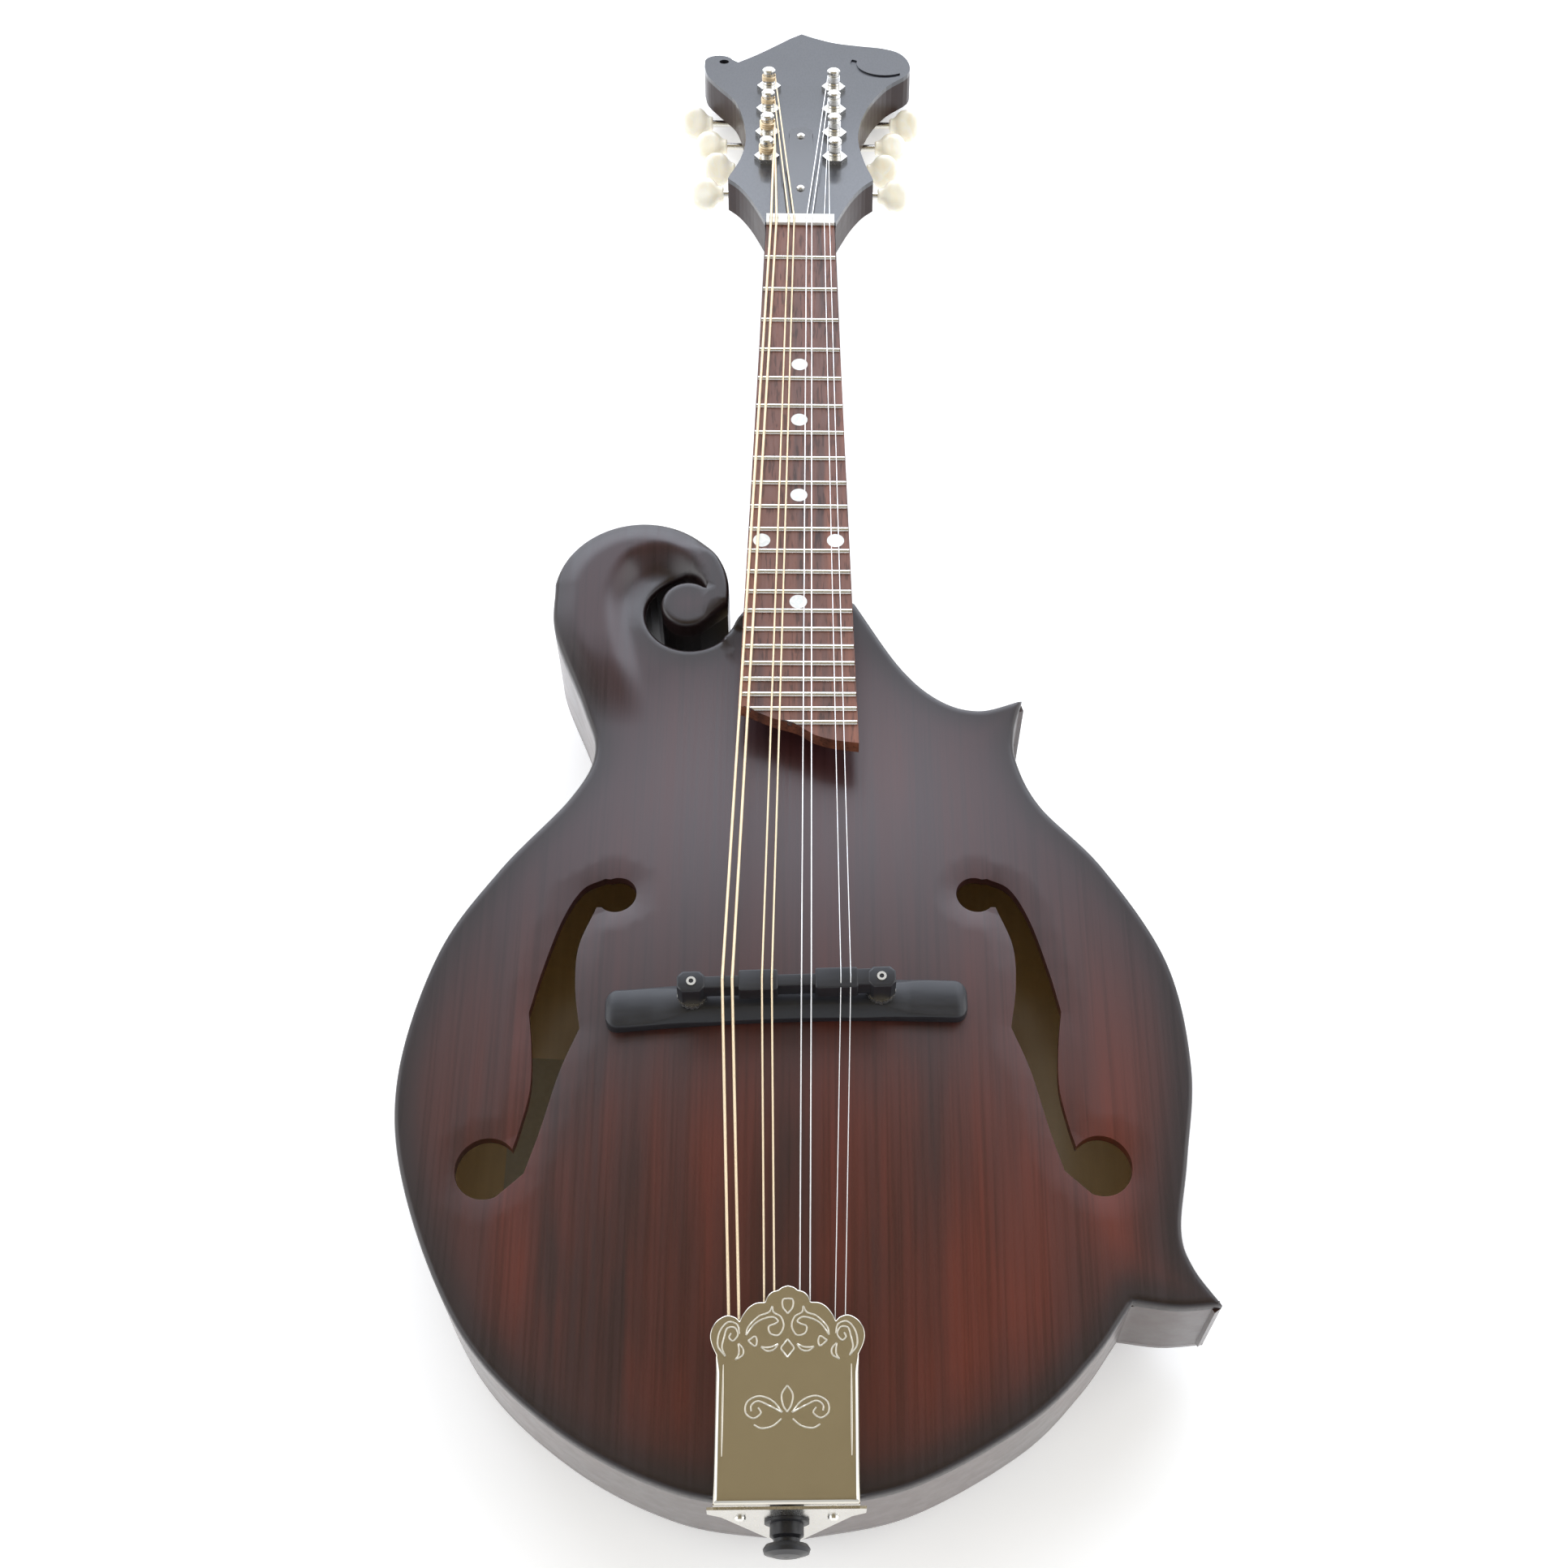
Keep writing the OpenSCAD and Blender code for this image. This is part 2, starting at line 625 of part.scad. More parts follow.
// Bridge
foot_r = 370;
foot_gap = 0.45;
module bridge_base() {
  color([0.07, 0.07, 0.08]) in_bridge() difference() {
    translate([0, base_depth / 2 + base_shift, 0]) rotate([90, 0, 0]) linear_extrude(base_depth) base_profile();
    translate([0, 20, top_at(0, bridge_y) + foot_gap - foot_r]) rotate([90, 0, 0])
      cylinder(r = foot_r, h = 40, $fn = 360);
    for (s = [-1, 1]) translate([s * post_gap / 2, 0, 60]) cylinder(r = post_r + gap, h = 40);
  }
}
module base_profile() {
  h = top_at(0, bridge_y);
  e = base_len / 2;
  polygon(concat(
    [[-e, h - 6], [e, h - 6]],
    curve([[e, h - 1.4], [e - 2, h - 0.1], [e - 14, h + 0.4], [e - 22, h + 2],
      [post_gap / 2, h + foot_h]], 4),
    curve([[post_gap / 2 - 6, h + foot_h], [0, h + foot_h + 1.2], [-post_gap / 2 + 6, h + foot_h]], 5),
    back_to_front(curve([[-e, h - 1.4], [-e + 2, h - 0.1], [-e + 14, h + 0.4], [-e + 22, h + 2],
      [-post_gap / 2, h + foot_h]], 4))));
}
module bridge_posts() {
  color("silver") in_bridge() for (s = [-1, 1])
    translate([s * post_gap / 2, 0, top_at(0, bridge_y)]) difference() {
    cylinder(r = post_r, h = saddle_top + 0.3 - top_at(0, bridge_y));
    translate([0, 0, saddle_top - 2 - top_at(0, bridge_y)]) cylinder(r = post_r / 2, h = 3);
  }
}
module thumbwheel(s) {
  color("silver") in_bridge() translate([s * post_gap / 2, 0, saddle_bottom - wheel_t - 0.05]) difference() {
    cylinder(d = wheel_d, h = wheel_t);
    translate([0, 0, -1]) cylinder(r = post_r + gap, h = wheel_t + 2);
    for (a = [0:20:359]) rotate([0, 0, a])
      translate([wheel_d / 2 + 0.25, 0, -1]) cylinder(r = 0.5, h = wheel_t + 2);
  }
}
module thumbwheel_bass() { thumbwheel(-1); }
module thumbwheel_treble() { thumbwheel(1); }
module bridge_saddle() {
  color([0.07, 0.07, 0.08]) difference() {
    in_bridge() difference() {
      translate([0, saddle_t / 2, 0]) rotate([90, 0, 0]) linear_extrude(saddle_t) saddle_profile();
      for (s = [-1, 1]) translate([s * post_gap / 2, 0, 60]) cylinder(r = post_r + gap, h = 40);
      for (c = saddle_steps)
        translate([c[0], c[2] > 0 ? 0.4 : -4, saddle_top - 2.4]) cube([c[1], 3.6, 4]);
    }
    for (k = [0:7]) string_groove(k, 2);
  }
}
saddle_t = 6.8;
// Steps that move the contact line under each pair: start, width and side
saddle_steps = [[-24.6, 13.4, 1], [-7.8, 16, -1], [8, 12, 1]];
module saddle_profile() {
  e = saddle_len / 2;
  polygon([[-e, saddle_bottom], [-e, saddle_top - 2.2], [-e + 2.2, saddle_top], [e - 2.2, saddle_top],
    [e, saddle_top - 2.2], [e, saddle_bottom],
    [post_gap / 2 - 6, saddle_bottom], [post_gap / 2 - 10, saddle_bottom + 2],
    [-post_gap / 2 + 10, saddle_bottom + 2], [-post_gap / 2 + 6, saddle_bottom]]);
}

// Tailpiece
plate_back = tail_y - 0.1;
bed_w = cover_w - 2 * metal_t - 1;
module tailpiece_base() {
  color("silver") difference() {
    union() {
      translate([string_offset - bed_w / 2, plate_back - metal_t, bed_z]) cube([bed_w, 28, metal_t]);
      translate([string_offset, plate_back, 0]) rotate([90, 0, 0]) linear_extrude(metal_t)
        polygon([[-23, bed_z + metal_t], [-23, top_edge - 2], [-19, top_edge - 6], [-4, top_edge - 38],
          [4, top_edge - 38], [19, top_edge - 6], [23, top_edge - 2], [23, bed_z + metal_t]]);
      for (k = [0:7]) translate([hook_point(k)[0] - 0.8, hook_y - 2.4, bed_z])
        cube([1.6, 1.2, hook_z + 2.4 - bed_z]);
    }
    tail_bores();
  }
}

// Scalloped front edge of the cover: a round ear at each side, then three lobes to the middle,
// measured from the middle of the side edge and from the front tip
lobes_len = 22;
EAR = [[-0.2, -21.8], [1.4, -18.7], [2, -16], [1.5, -13.7], [-0.3, -11.2], [-3, -10], [-5.4, -10.4], [-6.6, -11.2]];
LOBES = [
  [[14.2, -11.4], [13.4, -9.5], [11.5, -7.2], [9.4, -5.8], [7, -5.6]],
  [[6.8, -5.6], [6, -3.7], [4.7, -2.3], [3, -1.5]],
  [[2.8, -1.3], [1.7, -0.5], [0, 0]]];
module cover_shape() {
  w = cover_w / 2;
  half = concat(
    [[w, 0]],
    [for (p = curve(EAR, 2)) [w + p[0], cover_len + p[1]]],
    [for (lobe = LOBES, p = curve(lobe, 2)) [p[0], cover_len + p[1]]]);
  polygon(concat(half, [for (i = [len(half) - 2:-1:0]) [-half[i][0], half[i][1]]]));
}
module cover_section(t) {
  w = cover_w / 2 - t;
  h = -t;
  low = -cover_drop - (t > 0 ? 1 : 0);
  polygon(concat([[w, low]], arc([w - 3, h - 3], 3, 0, 90, 6),
    arc([-w + 3, h - 3], 3, 90, 180, 6), [[-w, low]]));
}
module tailpiece_cover() {
  color([0.8, 0.8, 0.78]) in_cover() {
    difference() {
      translate([0, cover_len - lobes_len, 0]) rotate([90, 0, 0])
        linear_extrude(cover_len - lobes_len) cover_section(0);
      translate([0, cover_len, 0]) rotate([90, 0, 0]) linear_extrude(cover_len + 10) cover_section(metal_t);
    }
    translate([0, 0, -metal_t]) linear_extrude(metal_t) intersection() {
      cover_shape();
      translate([-40, cover_len - lobes_len - 3]) square([80, 30]);
    }
  }
}

module end_pin() {
  color([0.05, 0.05, 0.05]) translate([string_offset, tail_y - 0.95, pin_z]) rotate([90, 0, 0]) rotate_extrude()
    polygon([[0, -20], [pin_r, -20], [pin_r, 0], [6.6, 0], [6.6, 0.8], [5, 1], [5, 4.4], [3.9, 5.2],
      [3.9, 6.2], [6.2, 6.8], [7, 8], [6.6, 9.2], [4, 10], [0, 10.2]]);
}

// Small wood screws, all alike
screw_r = 1.1;
module screw() {
  rotate_extrude() polygon([[0, -7], [screw_r, -5], [screw_r, 0], [1.8, 0], [1.7, 0.7], [1, 1.2], [0, 1.3]]);
}
module screw_bore() { translate([0, 0, -7.2]) cylinder(r = screw_r + gap, h = 7.6); }
truss_screws = [[0, 26], [0, 74.5]];
tail_screws = [[-13.6, top_edge - 6.5], [13.6, top_edge - 6.5], [0, top_edge - 33]];
plate_screw_y = [for (i = [0:4]) first_post - 8.5 + i * post_pitch + (i == 0 ? 1.5 : 0)];
plate_screw_x = 19.6;
module at_truss_screws() {
  in_head() for (p = truss_screws) translate([p[0], p[1], truss_cover_t + 0.02]) children();
}
module at_tail_screws() {
  for (p = tail_screws) translate([string_offset + p[0], plate_back - metal_t - 0.02, p[1]])
    rotate([90, 0, 0]) children();
}
module at_plate_screws() {
  in_head() for (s = [-1, 1], y = plate_screw_y)
    translate([s * plate_screw_x, y, -head_t - plate_gauge - 0.02]) rotate([180, 0, 0]) children();
}
module wood_screws() {
  color("silver") {
    at_truss_screws() screw();
    at_tail_screws() screw();
    at_plate_screws() screw();
  }
}

// Tuners
module at_tuner(s, i) { in_head() translate([s * post_x, first_post + (i - 1) * post_pitch, 0]) children(); }
module tuner_plates() {
  color("silver") difference() {
    union() {
      in_head() for (s = [-1, 1])
        translate([s * post_x + (s > 0 ? -6.5 : -7.7), first_post - 10.5, -head_t - plate_gauge])
          cube([14.2, 3 * post_pitch + 26, plate_gauge - 0.02]);
      for (s = [-1, 1], i = [1:4]) at_tuner(s, i) for (e = [-5.9, 4.7])
        translate([e, worm_offset - 2.6, shaft_z - 2.8]) cube([1.2, 5.2, -head_t - plate_gauge - shaft_z + 3]);
    }
    for (s = [-1, 1], i = [1:4]) at_tuner(s, i) {
      translate([0, 0, -head_t - 3]) cylinder(d = tuner_post_d + 0.2, h = 4);
      translate([-10, worm_offset, shaft_z]) rotate([0, 90, 0]) cylinder(r = shaft_r + gap, h = 20);
    }
    at_plate_screws() screw_bore();
  }
}
module tuner_bushings() {
  color("silver") for (s = [-1, 1], i = [1:4]) at_tuner(s, i) difference() {
    union() {
      translate([0, 0, 0.02]) cylinder(r = 5.4, h = 2.2, $fn = 6);
      translate([0, 0, -9]) cylinder(r = bushing_r, h = 10);
    }
    translate([0, 0, -10]) cylinder(d = tuner_post_d + 0.1, h = 14);
  }
}
module tuner_post(s, i) {
  r = tuner_post_d / 2;
  color("silver") at_tuner(s, i) difference() {
    union() {
      rotate_extrude() polygon([[0, gear_low - 0.6], [1.8, gear_low - 0.6], [1.8, gear_low], [2.2, gear_low],
        [2.2, gear_low + gear_t], [r, -head_t - plate_gauge - 0.3],
        [r, 3.6], [r - 0.5, 4.2], [r - 0.5, 7.6], [r, 8.4], [r, 9.6], [r - 0.6, 10.2], [0, 10.2]]);
      difference() {
        translate([0, 0, gear_low]) cylinder(r = gear_r, h = gear_t);
        for (a = [0:360 / gear_teeth:359]) rotate([0, 0, a])
          translate([gear_r + 0.2, 0, gear_low - 1]) cylinder(r = 0.6, h = gear_t + 2);
      }
    }
    translate([-5, 0, 7]) rotate([0, 90, 0]) cylinder(r = 0.7, h = 10);
  }
}
module tuner_worm(s, i) {
  tip = button_x[i - 1] - post_x;
  ridge = [[2.3, -3.8], [worm_r, -3.4], [worm_r, -2.9], [2.3, -2.5]];
  color("silver") at_tuner(s, i) translate([0, worm_offset, shaft_z]) rotate([0, s * 90, 0]) rotate_extrude()
    polygon(concat(
      [[0, -7.2], [shaft_r, -7.2], [shaft_r, -3.8]],
      [for (k = [0:4], p = ridge) [p[0], p[1] + k * 1.5]],
      [[2.3, 4.2], [shaft_r, 4.2], [shaft_r, tip + 6], [0, tip + 6]]));
}
module button_outline() {
  polygon(concat([[0, 3], [0, -3]], curve([[2.6, -4.2], [5, -7], [9.5, -7.5], [13, -5], [14, 0], [13, 5],
    [9.5, 7.5], [5, 7], [2.6, 4.2]], 3)));
}
module tuner_button(s, i) {
  color([0.93, 0.89, 0.76]) at_tuner(s, i) translate([s * (button_x[i - 1] - post_x), worm_offset, shaft_z])
    mirror([s < 0 ? 1 : 0, 0, 0]) rotate([button_turn[i - 1], 0, 0]) difference() {
      translate([0, 0, -button_t / 2]) linear_extrude(button_t) button_outline();
      translate([-1, 0, 0]) rotate([0, 90, 0]) cylinder(r = shaft_r + 0.02, h = 7.02);
    }
}

top_plate();
back_plate();
rib_bass();
rib_tail();
rib_bout();
rib_shoulder();
linings();
neck_block();
tail_block();
upper_point_block();
lower_point_block();
tone_bars();
paper_label();
neck();
truss_rod();
truss_rod_nut();
truss_rod_cover();
fretboard();
frets();
fret_dots();
nut();
headstock_overlay();
tuner_plates();
tuner_bushings();
wood_screws();
bridge_base();
bridge_posts();
bridge_saddle();
thumbwheel_bass();
thumbwheel_treble();
tailpiece_base();
tailpiece_cover();
end_pin();
strings_wound();
strings_plain();
for (s = [0, 1], i = [1:4]) {
  tuner_post(2 * s - 1, i);
  tuner_worm(2 * s - 1, i);
  tuner_button(2 * s - 1, i);
}
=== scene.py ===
import json
import math
import bpy
import bmesh
import numpy as np
from mathutils import Matrix, Vector
from mathutils.geometry import delaunay_2d_cdt


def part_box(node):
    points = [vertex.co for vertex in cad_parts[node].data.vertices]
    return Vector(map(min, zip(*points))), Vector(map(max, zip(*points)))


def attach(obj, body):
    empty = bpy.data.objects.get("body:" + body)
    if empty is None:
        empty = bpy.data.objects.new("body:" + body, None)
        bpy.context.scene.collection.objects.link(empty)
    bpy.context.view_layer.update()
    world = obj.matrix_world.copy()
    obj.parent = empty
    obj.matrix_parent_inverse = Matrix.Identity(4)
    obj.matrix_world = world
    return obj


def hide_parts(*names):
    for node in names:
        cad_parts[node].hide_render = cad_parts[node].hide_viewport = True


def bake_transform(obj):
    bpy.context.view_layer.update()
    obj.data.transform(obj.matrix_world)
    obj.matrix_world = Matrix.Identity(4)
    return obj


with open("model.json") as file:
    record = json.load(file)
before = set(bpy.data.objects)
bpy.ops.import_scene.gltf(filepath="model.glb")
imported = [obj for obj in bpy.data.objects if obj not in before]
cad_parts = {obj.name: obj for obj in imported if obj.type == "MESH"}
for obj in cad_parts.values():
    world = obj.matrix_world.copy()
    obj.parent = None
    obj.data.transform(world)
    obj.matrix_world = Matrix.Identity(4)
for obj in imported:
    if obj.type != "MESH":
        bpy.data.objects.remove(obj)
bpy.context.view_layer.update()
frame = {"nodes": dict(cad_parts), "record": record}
NODES = frame["nodes"]
MM = 0.001

# ---------------------------------------------------------------- design sizes, as in the CAD, in mm
TOP_EDGE = 57.0
BACK_EDGE = 12.0
PLATE_EDGE = 4.5
PLATE_T = 4.8
TOP_ARCH = 13.0
BACK_ARCH = 12.0
ARCH_X, ARCH_NECK, ARCH_TAIL = 129.0, 166.0, 136.0
NUT_Y, NUT_Z, NUT_T = 375.0, TOP_EDGE - 4.755, 5.5
PITCH = math.radians(4.67)
HEAD_ANGLE = math.radians(13)
FACE_DROP = 3.3
HEAD_T = 15.0
NECK_END = 184.2
SCROLL_CENTRE, SCROLL_R = (-57, 186), 31.8
SLOT_CENTRE, SLOT_R = (-39, 179.3), 16.5
CURL_CENTRE, CURL_R = (-40, 180.5), 9.6
OFFSET = -2.0
FIRST_POST, POST_PITCH, POST_X = 55.5, 23.0, 14.7
POST_R = 2.95
STRING_BED = POST_R - 0.45
WRAP_Z = 6.0
WORM_OFFSET = 8.0
SHAFT_Z = -HEAD_T - 1.2 - 4.8
BUTTON_X = (34.0, 29.5, 33.7, 41.0)
BUTTON_TURN = (35, 55, 30, 45)
BRIDGE_X, BRIDGE_Y, SKEW, SADDLE_TOP = OFFSET - 1, 20.3, math.radians(1.6), TOP_EDGE + 28.7
TAIL_Y = -133.5
COVER_W, COVER_LEN, COVER_TILT, COVER_DROP = 42.0, 60.7, math.radians(4), 8.0
HOOK_Y, HOOK_Z = -108.0, TOP_EDGE + 7.5
STRING_D = (0.96, 0.96, 0.66, 0.66, 0.4, 0.4, 0.28, 0.28)

NECK = Matrix.Translation((0, NUT_Y, NUT_Z)) @ Matrix.Rotation(-PITCH, 4, "X")
HEAD = NECK @ Matrix.Translation((0, NUT_T, -FACE_DROP)) @ Matrix.Rotation(-HEAD_ANGLE, 4, "X")
COVER = Matrix.Translation((OFFSET, TAIL_Y, TOP_EDGE + 11)) @ Matrix.Rotation(COVER_TILT, 4, "X")


# ---------------------------------------------------------------- curves
def arc(centre, r, start, end, n):
    a = np.radians(np.linspace(start, end, n + 1))
    return np.stack([centre[0] + r * np.cos(a), centre[1] + r * np.sin(a)], 1)


def curve(points, n=12):
    """A smooth run through every point, with n steps between neighbours."""
    p = np.array(points, float)
    p = np.vstack([2 * p[0] - p[1], p, 2 * p[-1] - p[-2]])
    t = (np.arange(n) / n)[:, None]
    out = []
    for i in range(len(p) - 3):
        a, b, c, d = p[i:i + 4]
        out.append(0.5 * (2 * b + (c - a) * t + (2 * a - 5 * b + 4 * c - d) * t ** 2
                          + (3 * b - a - 3 * c + d) * t ** 3))
    return np.vstack(out + [p[-2][None]])


def even(p, step):
    """The same run with its points about one step apart."""
    p = np.asarray(p, float)
    s = np.concatenate([[0], np.cumsum(np.linalg.norm(np.diff(p, axis=0), axis=1))])
    n = max(2, int(round(s[-1] / step)))
    t = np.linspace(0, s[-1], n + 1)
    return np.stack([np.interp(t, s, p[:, k]) for k in range(p.shape[1])], 1)


def joined(*runs):
    """Runs end to end, without the doubled points where they meet."""
    p = np.vstack(runs)
    keep = np.linalg.norm(p - np.roll(p, 1, axis=0), axis=1) > 0.02
    return p[keep]


TAIL_RUN = curve([[0, -133.5], [35, -127], [70, -109], [90, -90.8], [103, -74]])
LOWER_POINT_RUN = curve([[103, -74], [117, -75.8], [130.5, -75]])
BOUT_RUN = curve([[130.5, -75], [122.6, -63], [120, -51], [124, -28], [128, 3], [123, 40], [104, 75],
                  [84, 98.5], [76.5, 117], [76.5, 130], [79.8, 142.2]])
SHOULDER_RUN = curve([[79.8, 142.2], [64, 137.8], [50, 142.3], [36.5, 156.2], [20.2, NECK_END]])
SLOT_RUN = np.vstack([[[-18.8, NECK_END], [-19.6, 178]], arc(SLOT_CENTRE, SLOT_R, -28, -250, 60),
                      curve([[-41.4, 195.2], [-38.4, 193.9], [-36, 191.8], [-34.2, 189]]),
                      arc(CURL_CENTRE, CURL_R, 50, 318, 50)])
SCROLL_RUN = arc(SCROLL_CENTRE, SCROLL_R, -10, 172, 90)
BASS_RUN = curve([[-88.5, 190.4], [-87.2, 169], [-75.5, 139], [-70.6, 120], [-78, 101.5], [-100, 74],
                  [-118, 43], [-127, 0], [-121, -38], [-100, -82], [-70, -110.5], [-35, -128], [0, -133.5]])
STEP = 1.4
OUTLINE = joined(*[even(r, STEP) for r in (TAIL_RUN, LOWER_POINT_RUN, BOUT_RUN, SHOULDER_RUN, SLOT_RUN,
                                           SCROLL_RUN, BASS_RUN)])
F_HOLE = joined(*[even(r, 0.9) for r in (
    curve([[64, 68.4], [71.5, 64.5], [77.6, 53], [83, 34.5], [86.2, 20.2]]),
    curve([[86.2, 20.2], [84.6, 8], [84, -6], [86.2, -18], [88.3, -25.6]]),
    arc((96.2, -31.4), 9.8, 143, -112, 48),
    curve([[84.2, -33.5], [80, -20], [75, -1], [69.4, 13.6]]),
    curve([[69.4, 13.6], [71.6, 28], [71.4, 43], [66.3, 57.5]]),
    arc((59.8, 61.9), 6.6, -42, -290, 48))])[::-1]


# ---------------------------------------------------------------- mesh helpers
def new_mesh(name, verts, faces, smooth=40):
    """An object from vertices in mm; edges sharper than smooth, in degrees, stay sharp."""
    me = bpy.data.meshes.new(name)
    me.from_pydata([tuple(v) for v in np.asarray(verts, float) * MM], [],
                   [tuple(int(i) for i in f) for f in faces])
    me.validate()
    me.update()
    me.polygons.foreach_set("use_smooth", [True] * len(me.polygons))
    me.set_sharp_from_angle(angle=math.radians(smooth))
    obj = bpy.data.objects.new(name, me)
    bpy.context.scene.collection.objects.link(obj)
    return obj


def place(obj, matrix):
    """Moves the mesh itself by a matrix that is given in mm."""
    obj.data.transform(Matrix.Scale(MM, 4) @ matrix @ Matrix.Scale(1 / MM, 4))


def bevel(obj, width):
    mod = obj.modifiers.new("bevel", "BEVEL")
    mod.width = width * MM
    mod.segments = 2
    mod.limit_method = "ANGLE"
    mod.angle_limit = math.radians(35)
    mod.use_clamp_overlap = True


def fixed_normals(obj):
    bm = bmesh.new()
    bm.from_mesh(obj.data)
    bmesh.ops.recalc_face_normals(bm, faces=bm.faces)
    bm.to_mesh(obj.data)
    bm.free()
    return obj


def inside(p, loop):
    """Which points of p lie inside a closed loop."""
    x, y = p[:, 0][:, None], p[:, 1][:, None]
    a, b = loop, np.roll(loop, -1, axis=0)
    cross = (a[:, 1] > y) != (b[:, 1] > y)
    with np.errstate(divide="ignore", invalid="ignore"):
        at = a[:, 0] + (y - a[:, 1]) / (b[:, 1] - a[:, 1]) * (b[:, 0] - a[:, 0])
    return (cross & (x < at)).sum(1) % 2 == 1


def distance(p, loop, closed=True):
    """Distance from each point of p to a run of points."""
    a = loop if closed else loop[:-1]
    b = np.roll(loop, -1, axis=0) if closed else loop[1:]
    out = np.full(len(p), 1e9)
    for k in range(0, len(a), 64):
        s, d = a[k:k + 64], (b - a)[k:k + 64]
        w = p[:, None] - s
        t = np.clip((w * d).sum(2) / np.maximum((d * d).sum(1), 1e-12), 0, 1)
        out = np.minimum(out, np.linalg.norm(w - t[..., None] * d, axis=2).min(1))
    return out


def ring(loop, d):
    """A closed loop moved to its left by d."""
    a = np.roll(loop, 1, axis=0)
    b = np.roll(loop, -1, axis=0)
    t = (b - a) / np.linalg.norm(b - a, axis=1)[:, None]
    return loop + d * np.stack([-t[:, 1], t[:, 0]], 1)


def staggered(low, high, cell):
    """Points over a rectangle, with every second row shifted by half a cell."""
    x, y = np.meshgrid(np.arange(low[0], high[0], cell), np.arange(low[1], high[1], cell * 0.87))
    x = x + (np.arange(x.shape[0]) % 2)[:, None] * cell / 2
    return np.stack([x.ravel(), y.ravel()], 1)


def triangulated(outer, holes, rows, cell, extra=None):
    """Points and triangles over the area inside outer and outside holes, with rows of points along
    every edge; extra is a rectangle with a finer cell."""
    loops = [outer] + holes
    grid = staggered(outer.min(0), outer.max(0), cell)
    if extra is not None:
        lo_x, lo_y, hi_x, hi_y, fine = extra
        x, y = grid.T
        near = (x > lo_x - cell / 2) & (x < hi_x + cell / 2) & (y > lo_y - cell / 2) & (y < hi_y + cell / 2)
        grid = np.vstack([grid[~near], staggered((lo_x, lo_y), (hi_x, hi_y), fine)])
    free = [grid[np.minimum.reduce([distance(grid, l) for l in loops]) > max(rows) + cell * 0.3]]
    for d in rows:
        for loop in loops:
            r = ring(loop, d)
            free.append(r[np.minimum.reduce([distance(r, l) for l in loops]) > d - 0.04])
    free = np.vstack(free)
    ok = inside(free, outer)
    for h in holes:
        ok &= ~inside(free, h)
    verts, edges = [], []
    for loop in loops:
        n0 = len(verts)
        verts += list(loop)
        edges += [(n0 + i, n0 + (i + 1) % len(loop)) for i in range(len(loop))]
    verts += list(free[ok])
    out = delaunay_2d_cdt([Vector(v) for v in verts], edges, [], 0, 1e-5)
    p = np.array([[v.x, v.y] for v in out[0]])
    tri = np.array([f for f in out[2] if len(f) == 3])
    mid = p[tri].mean(1)
    keep = inside(mid, outer)
    for h in holes:
        keep &= ~inside(mid, h)
    tri = tri[keep]
    d1, d2 = p[tri[:, 1]] - p[tri[:, 0]], p[tri[:, 2]] - p[tri[:, 0]]
    flip = d1[:, 0] * d2[:, 1] - d1[:, 1] * d2[:, 0] < 0
    tri[flip] = tri[flip][:, ::-1]
    return p, tri


def sheet_solid(name, outer, holes, upper, lower, rows, cell, smooth=50, extra=None):
    """A closed solid between two height functions over an area with holes."""
    p, tri = triangulated(outer, holes, rows, cell, extra)
    n = len(p)
    verts = np.vstack([np.c_[p, upper(p)], np.c_[p, lower(p)]])
    faces = [tuple(t) for t in tri] + [tuple(n + t[::-1]) for t in tri]
    edges = {e: 1 for a, b, c in tri for e in ((a, b), (b, c), (c, a))}
    faces += [(b, a, n + a, n + b) for a, b in edges if (b, a) not in edges]
    return new_mesh(name, verts, faces, smooth)


def loft(sections):
    """Vertices and faces of a closed solid through equal rings of points."""
    n, k = len(sections), len(sections[0])
    faces = [(i * k + j, i * k + (j + 1) % k, (i + 1) * k + (j + 1) % k, (i + 1) * k + j)
             for i in range(n - 1) for j in range(k)]
    faces += [tuple(range(k))[::-1], tuple((n - 1) * k + j for j in range(k))]
    return np.vstack(sections), faces


def tube(path, radius, sides=10):
    """Vertices and faces of a tube along a path; radius is one number or one for each point."""
    p = np.asarray(path, float)
    r = np.full(len(p), radius) if np.isscalar(radius) else np.asarray(radius, float)
    t = np.gradient(p, axis=0)
    t /= np.linalg.norm(t, axis=1)[:, None]
    up = np.array([0.0, 0.0, 1.0]) if abs(t[0][2]) < 0.9 else np.array([1.0, 0.0, 0.0])
    verts = []
    for i in range(len(p)):
        u = np.cross(t[i], up)
        u /= np.linalg.norm(u)
        v = np.cross(u, t[i])
        up = v
        a = np.linspace(0, 2 * math.pi, sides, endpoint=False)
        verts.append(p[i] + r[i] * (np.cos(a)[:, None] * u + np.sin(a)[:, None] * v))
    return loft(verts)


def channel(p, inner, low, high):
    """Vertices and faces of a bar of four sides that follows a run p and the run beside it."""
    n = len(p)
    rows = [np.c_[p, np.full(n, a)] for a in (low, high)] + [np.c_[inner, np.full(n, a)] for a in (high, low)]
    faces = [(a * n + i, a * n + i + 1, b * n + i + 1, b * n + i)
             for a, b in ((0, 1), (1, 2), (2, 3), (3, 0)) for i in range(n - 1)]
    return np.vstack(rows), faces + [(0, n, 2 * n, 3 * n), (n - 1, 4 * n - 1, 3 * n - 1, 2 * n - 1)]


def merged(name, parts, smooth=40):
    """One mesh from several (vertices, faces)."""
    verts, faces, n = [], [], 0
    for v, f in parts:
        verts.append(v)
        faces += [tuple(i + n for i in q) for q in f]
        n += len(v)
    return new_mesh(name, np.vstack(verts), faces, smooth)


def smoothstep(a, b, x):
    t = np.clip((x - a) / (b - a), 0, 1)
    return t * t * (3 - 2 * t)


